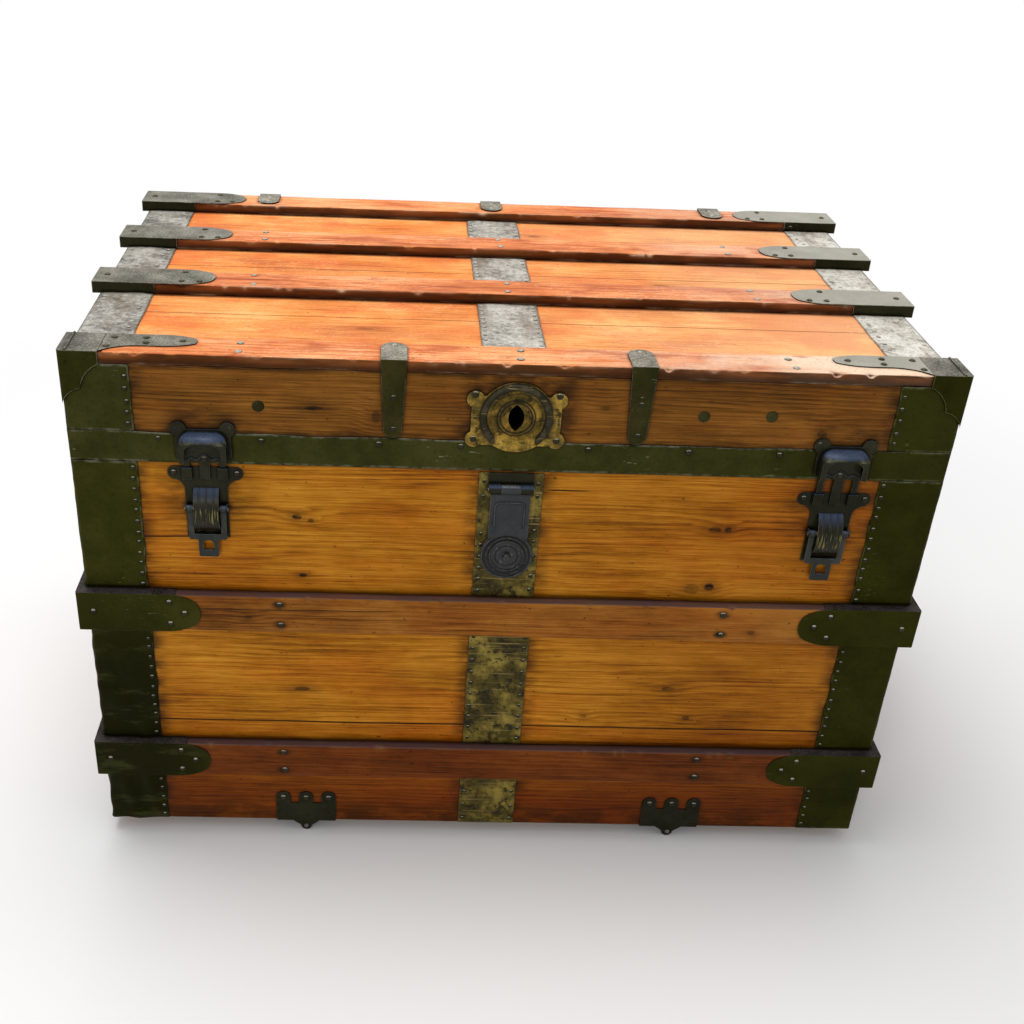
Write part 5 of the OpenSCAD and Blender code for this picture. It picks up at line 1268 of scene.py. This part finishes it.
spring_steel = painted_steel("spring_enamel", (0.0035, 0.0040, 0.0025), (0.016, 0.016, 0.009), rough=0.20,
                             specular=0.16, bare=(0.30, 0.26, 0.12), edges=0.9, late=flute_gilt, **painted_sky_gloss)
wear_on(spring_steel, "latch_spring_left", "latch_spring_right")
wear_on(steel, "pivot_pins")
places = [(x + dx, -half_d - 0.0012, z) for x, z in ((latch_left, 0.4675), (latch_right, 0.4565))
          for dx in (-0.031, 0.031)]
studs("latch_plate_nails", places, (0, -1, 0), radius=0.0030, rise=0.0014, body="case", seed=12)
places = [(x + dx, -half_d - 0.0016, 0.5165) for x in (latch_left, latch_right) for dx in (-0.0262, 0.0262)]
places += [(x, -half_d - 0.0025, 0.4832) for x in (latch_left, latch_right)]
studs("latch_hood_nails", places, (0, -1, 0), radius=0.0030, rise=0.0014, body="lid", seed=13)

# The hasp lock: a back leaf and a pin carry a round-ended hasp with pressed rings and a stud,
# which folds up over an escutcheon whose pointed hole sits inside a raised open ring.
wear_on(black, "lock_hinge")
disc_z = 0.384


def hasp_shade(f, colour):
    """Dirt in the disc's pressed rings and brass specks between them."""
    off = f.far((0, 0, disc_z), (1, 0, 1))
    specks = f.times(f.step(f.noise(f.at, (260, 260, 260), 4, 0.7), 0.58, 0.66), f.step(off, 0.024, 0.020))
    colour = f.mix(f.times(specks, 0.6), colour, (0.22, 0.16, 0.07))
    for radius in (0.0115, 0.0185, 0.0225):
        colour = f.mix(f.step(f.apart(off, radius), 0.0014, 0.0003, 0, 0.9), colour, (0.004, 0.004, 0.004))
    return colour


# Its bluish top colour is a painted reflection of the sky where it looks up.
hasp_steel = painted_steel("hasp_nickel", (0.018, 0.020, 0.023), (0.040, 0.041, 0.043),
                           top=(0.10, 0.11, 0.13), rough=0.24, specular=0.2, tint=(1, 1, 1),
                           bare=(0.26, 0.25, 0.22), metal=0.1, scratches=0.8, edges=0.9, late=hasp_shade)
wear_on(hasp_steel, "lock_hasp")
disc_r, rim_y = 0.0254, -half_d - 0.0066
turn = np.radians(np.linspace(-236, 56, 97))
rim = np.stack((disc_r * np.cos(turn), turn * 0 + rim_y, disc_z + disc_r * np.sin(turn)), axis=1)
bead("hasp_rim", rim, 0.0009, "lock_hasp", hasp_steel)
corner_r, corner_x, corner_z = 0.005, 0.0098, 0.4405
turn = np.radians(np.linspace(180, 0, 17))
left, right = turn[:9], turn[8:]
climb, upright = np.linspace(0.416, corner_z - 0.001, 12), np.full(12, corner_x + corner_r)
panel_x = np.concatenate((-upright, corner_r * np.cos(left) - corner_x, corner_r * np.cos(right) + corner_x,
                          upright))
panel_z = np.concatenate((climb, corner_z + corner_r * np.sin(left), corner_z + corner_r * np.sin(right),
                          climb[::-1]))
panel = np.stack((panel_x, panel_x * 0 + rim_y, panel_z), axis=1)
bead("hasp_panel_rim", panel, 0.0008, "lock_hasp", hasp_steel)
wear_on(tarnished_brass("escutcheon_brass", (0.56, 0.34, 0.055), (0.17, 0.108, 0.018), 44, (0.0155, 0.0185)),
        "escutcheon")
wear_on(tarnished_brass("ring_brass", (0.070, 0.056, 0.034), (0.026, 0.022, 0.014), 60), "lock_ring")
places = [(sx * 0.0405, -half_d - 0.0018, keyhole_z + dz) for sx in (-1, 1) for dz in (-0.0235, 0.0235)]
studs("escutcheon_nails", places, (0, -1, 0), radius=0.0034, rise=0.0014, body="lid", seed=14)

# The hinges: three leaves nailed to the back of the case, each pinned to a strap that climbs
# the lid and is nailed down over the last slat.
wear_on(black, "hinge_leaves")
wear_on(strap_paint, "hinge_straps")
wear_on(steel, "hinge_pins")
hinge_x, leaf_y = (-0.284, 0.0, 0.284), half_d + 0.0012
places = [(x + dx, leaf_y, z) for x in hinge_x for dx in (-0.0105, 0.0105) for z in (0.426, 0.446)]
studs("hinge_leaf_nails", places, (0, 1, 0), radius=0.0026, rise=0.0012, body="case", seed=15)
places = []
for x in hinge_x:
    places += [(x, leaf_y, z) for z in (0.515, 0.545, 0.570)] + [(x, y, 0.5921) for y in (0.240, 0.258)]
outward = ([(0, 1, 0)] * 3 + [(0, 0, 1)] * 2) * len(hinge_x)
studs("hinge_strap_nails", places, outward, radius=0.0030, rise=0.0010, body="lid", seed=16)

# The studio: a white sheet of floor that runs out of sight. Its reflection of the lamps stays,
# so the trunk's shadow shows; far from the trunk it is plain white to the camera and to gloss.
ground = bpy.data.meshes.new("floor")
ground.from_pydata([(-30, -30, 0), (30, -30, 0), (30, 30, 0), (-30, 30, 0)], [], [(0, 1, 2, 3)])
floor = bpy.data.objects.new("floor", ground)
bpy.context.scene.collection.objects.link(floor)
paper = Finish("studio_white")
away = paper.step(paper.far((0, 0, 0), (1, 1, 1)), 0.75, 1.7)
ray = paper.add("ShaderNodeLightPath")
seen = paper.most(*[ray.outputs[f"Is {kind} Ray"] for kind in ("Camera", "Glossy", "Transmission")])
glow = paper.times(away, seen)
tree = paper.tree
sheen = paper.add("ShaderNodeEmission", {"Color": (1, 1, 1), "Strength": 1.0})
blend = paper.add("ShaderNodeMixShader", {0: glow})
tree.links.new(paper.shader.outputs[0], blend.inputs[1])
tree.links.new(sheen.outputs[0], blend.inputs[2])
tree.links.new(blend.outputs[0], tree.nodes["Material Output"].inputs["Surface"])
for socket, value in (("Base Color", (0.86, 0.86, 0.86)), ("Roughness", 0.9), ("Specular IOR Level", 0.2)):
    paper.put(paper.shader.inputs[socket], value)
ground.materials.append(paper.material)

world = bpy.data.worlds.new("world")
bpy.context.scene.world = world
world.use_nodes = True
sky = world.node_tree
sky.nodes["Background"].inputs[0].default_value = (1, 1, 1, 1)
ray = sky.nodes.new("ShaderNodeLightPath")
seen = sky.nodes.new("ShaderNodeMath")
seen.operation = "MAXIMUM"
level = sky.nodes.new("ShaderNodeMapRange")
sky.links.new(ray.outputs["Is Camera Ray"], seen.inputs[0])
sky.links.new(ray.outputs["Is Glossy Ray"], seen.inputs[1])
sky.links.new(seen.outputs[0], level.inputs["Value"])
level.inputs["To Min"].default_value = 0.50
level.inputs["To Max"].default_value = 1.0
sky.links.new(level.outputs["Result"], sky.nodes["Background"].inputs[1])


def soft_light(name, place, aim, width, power):
    """A square area lamp at place, turned to aim."""
    lamp = bpy.data.lights.new(name, "AREA")
    lamp.shape = "SQUARE"
    lamp.size = width
    lamp.energy = power
    held = bpy.data.objects.new(name, lamp)
    bpy.context.scene.collection.objects.link(held)
    turn = (Vector(aim) - Vector(place)).to_track_quat("-Z", "Y").to_matrix().to_4x4()
    held.matrix_world = Matrix.Translation(place) @ turn


soft_light("overhead", (-0.5, 0.4, 3.2), (0, 0, 0.4), 2.2, 80.0)
soft_light("front", (-1.4, -3.6, 1.7), (0, 0, 0.3), 0.7, 26.0)

bpy.context.scene.view_settings.view_transform = "Standard"
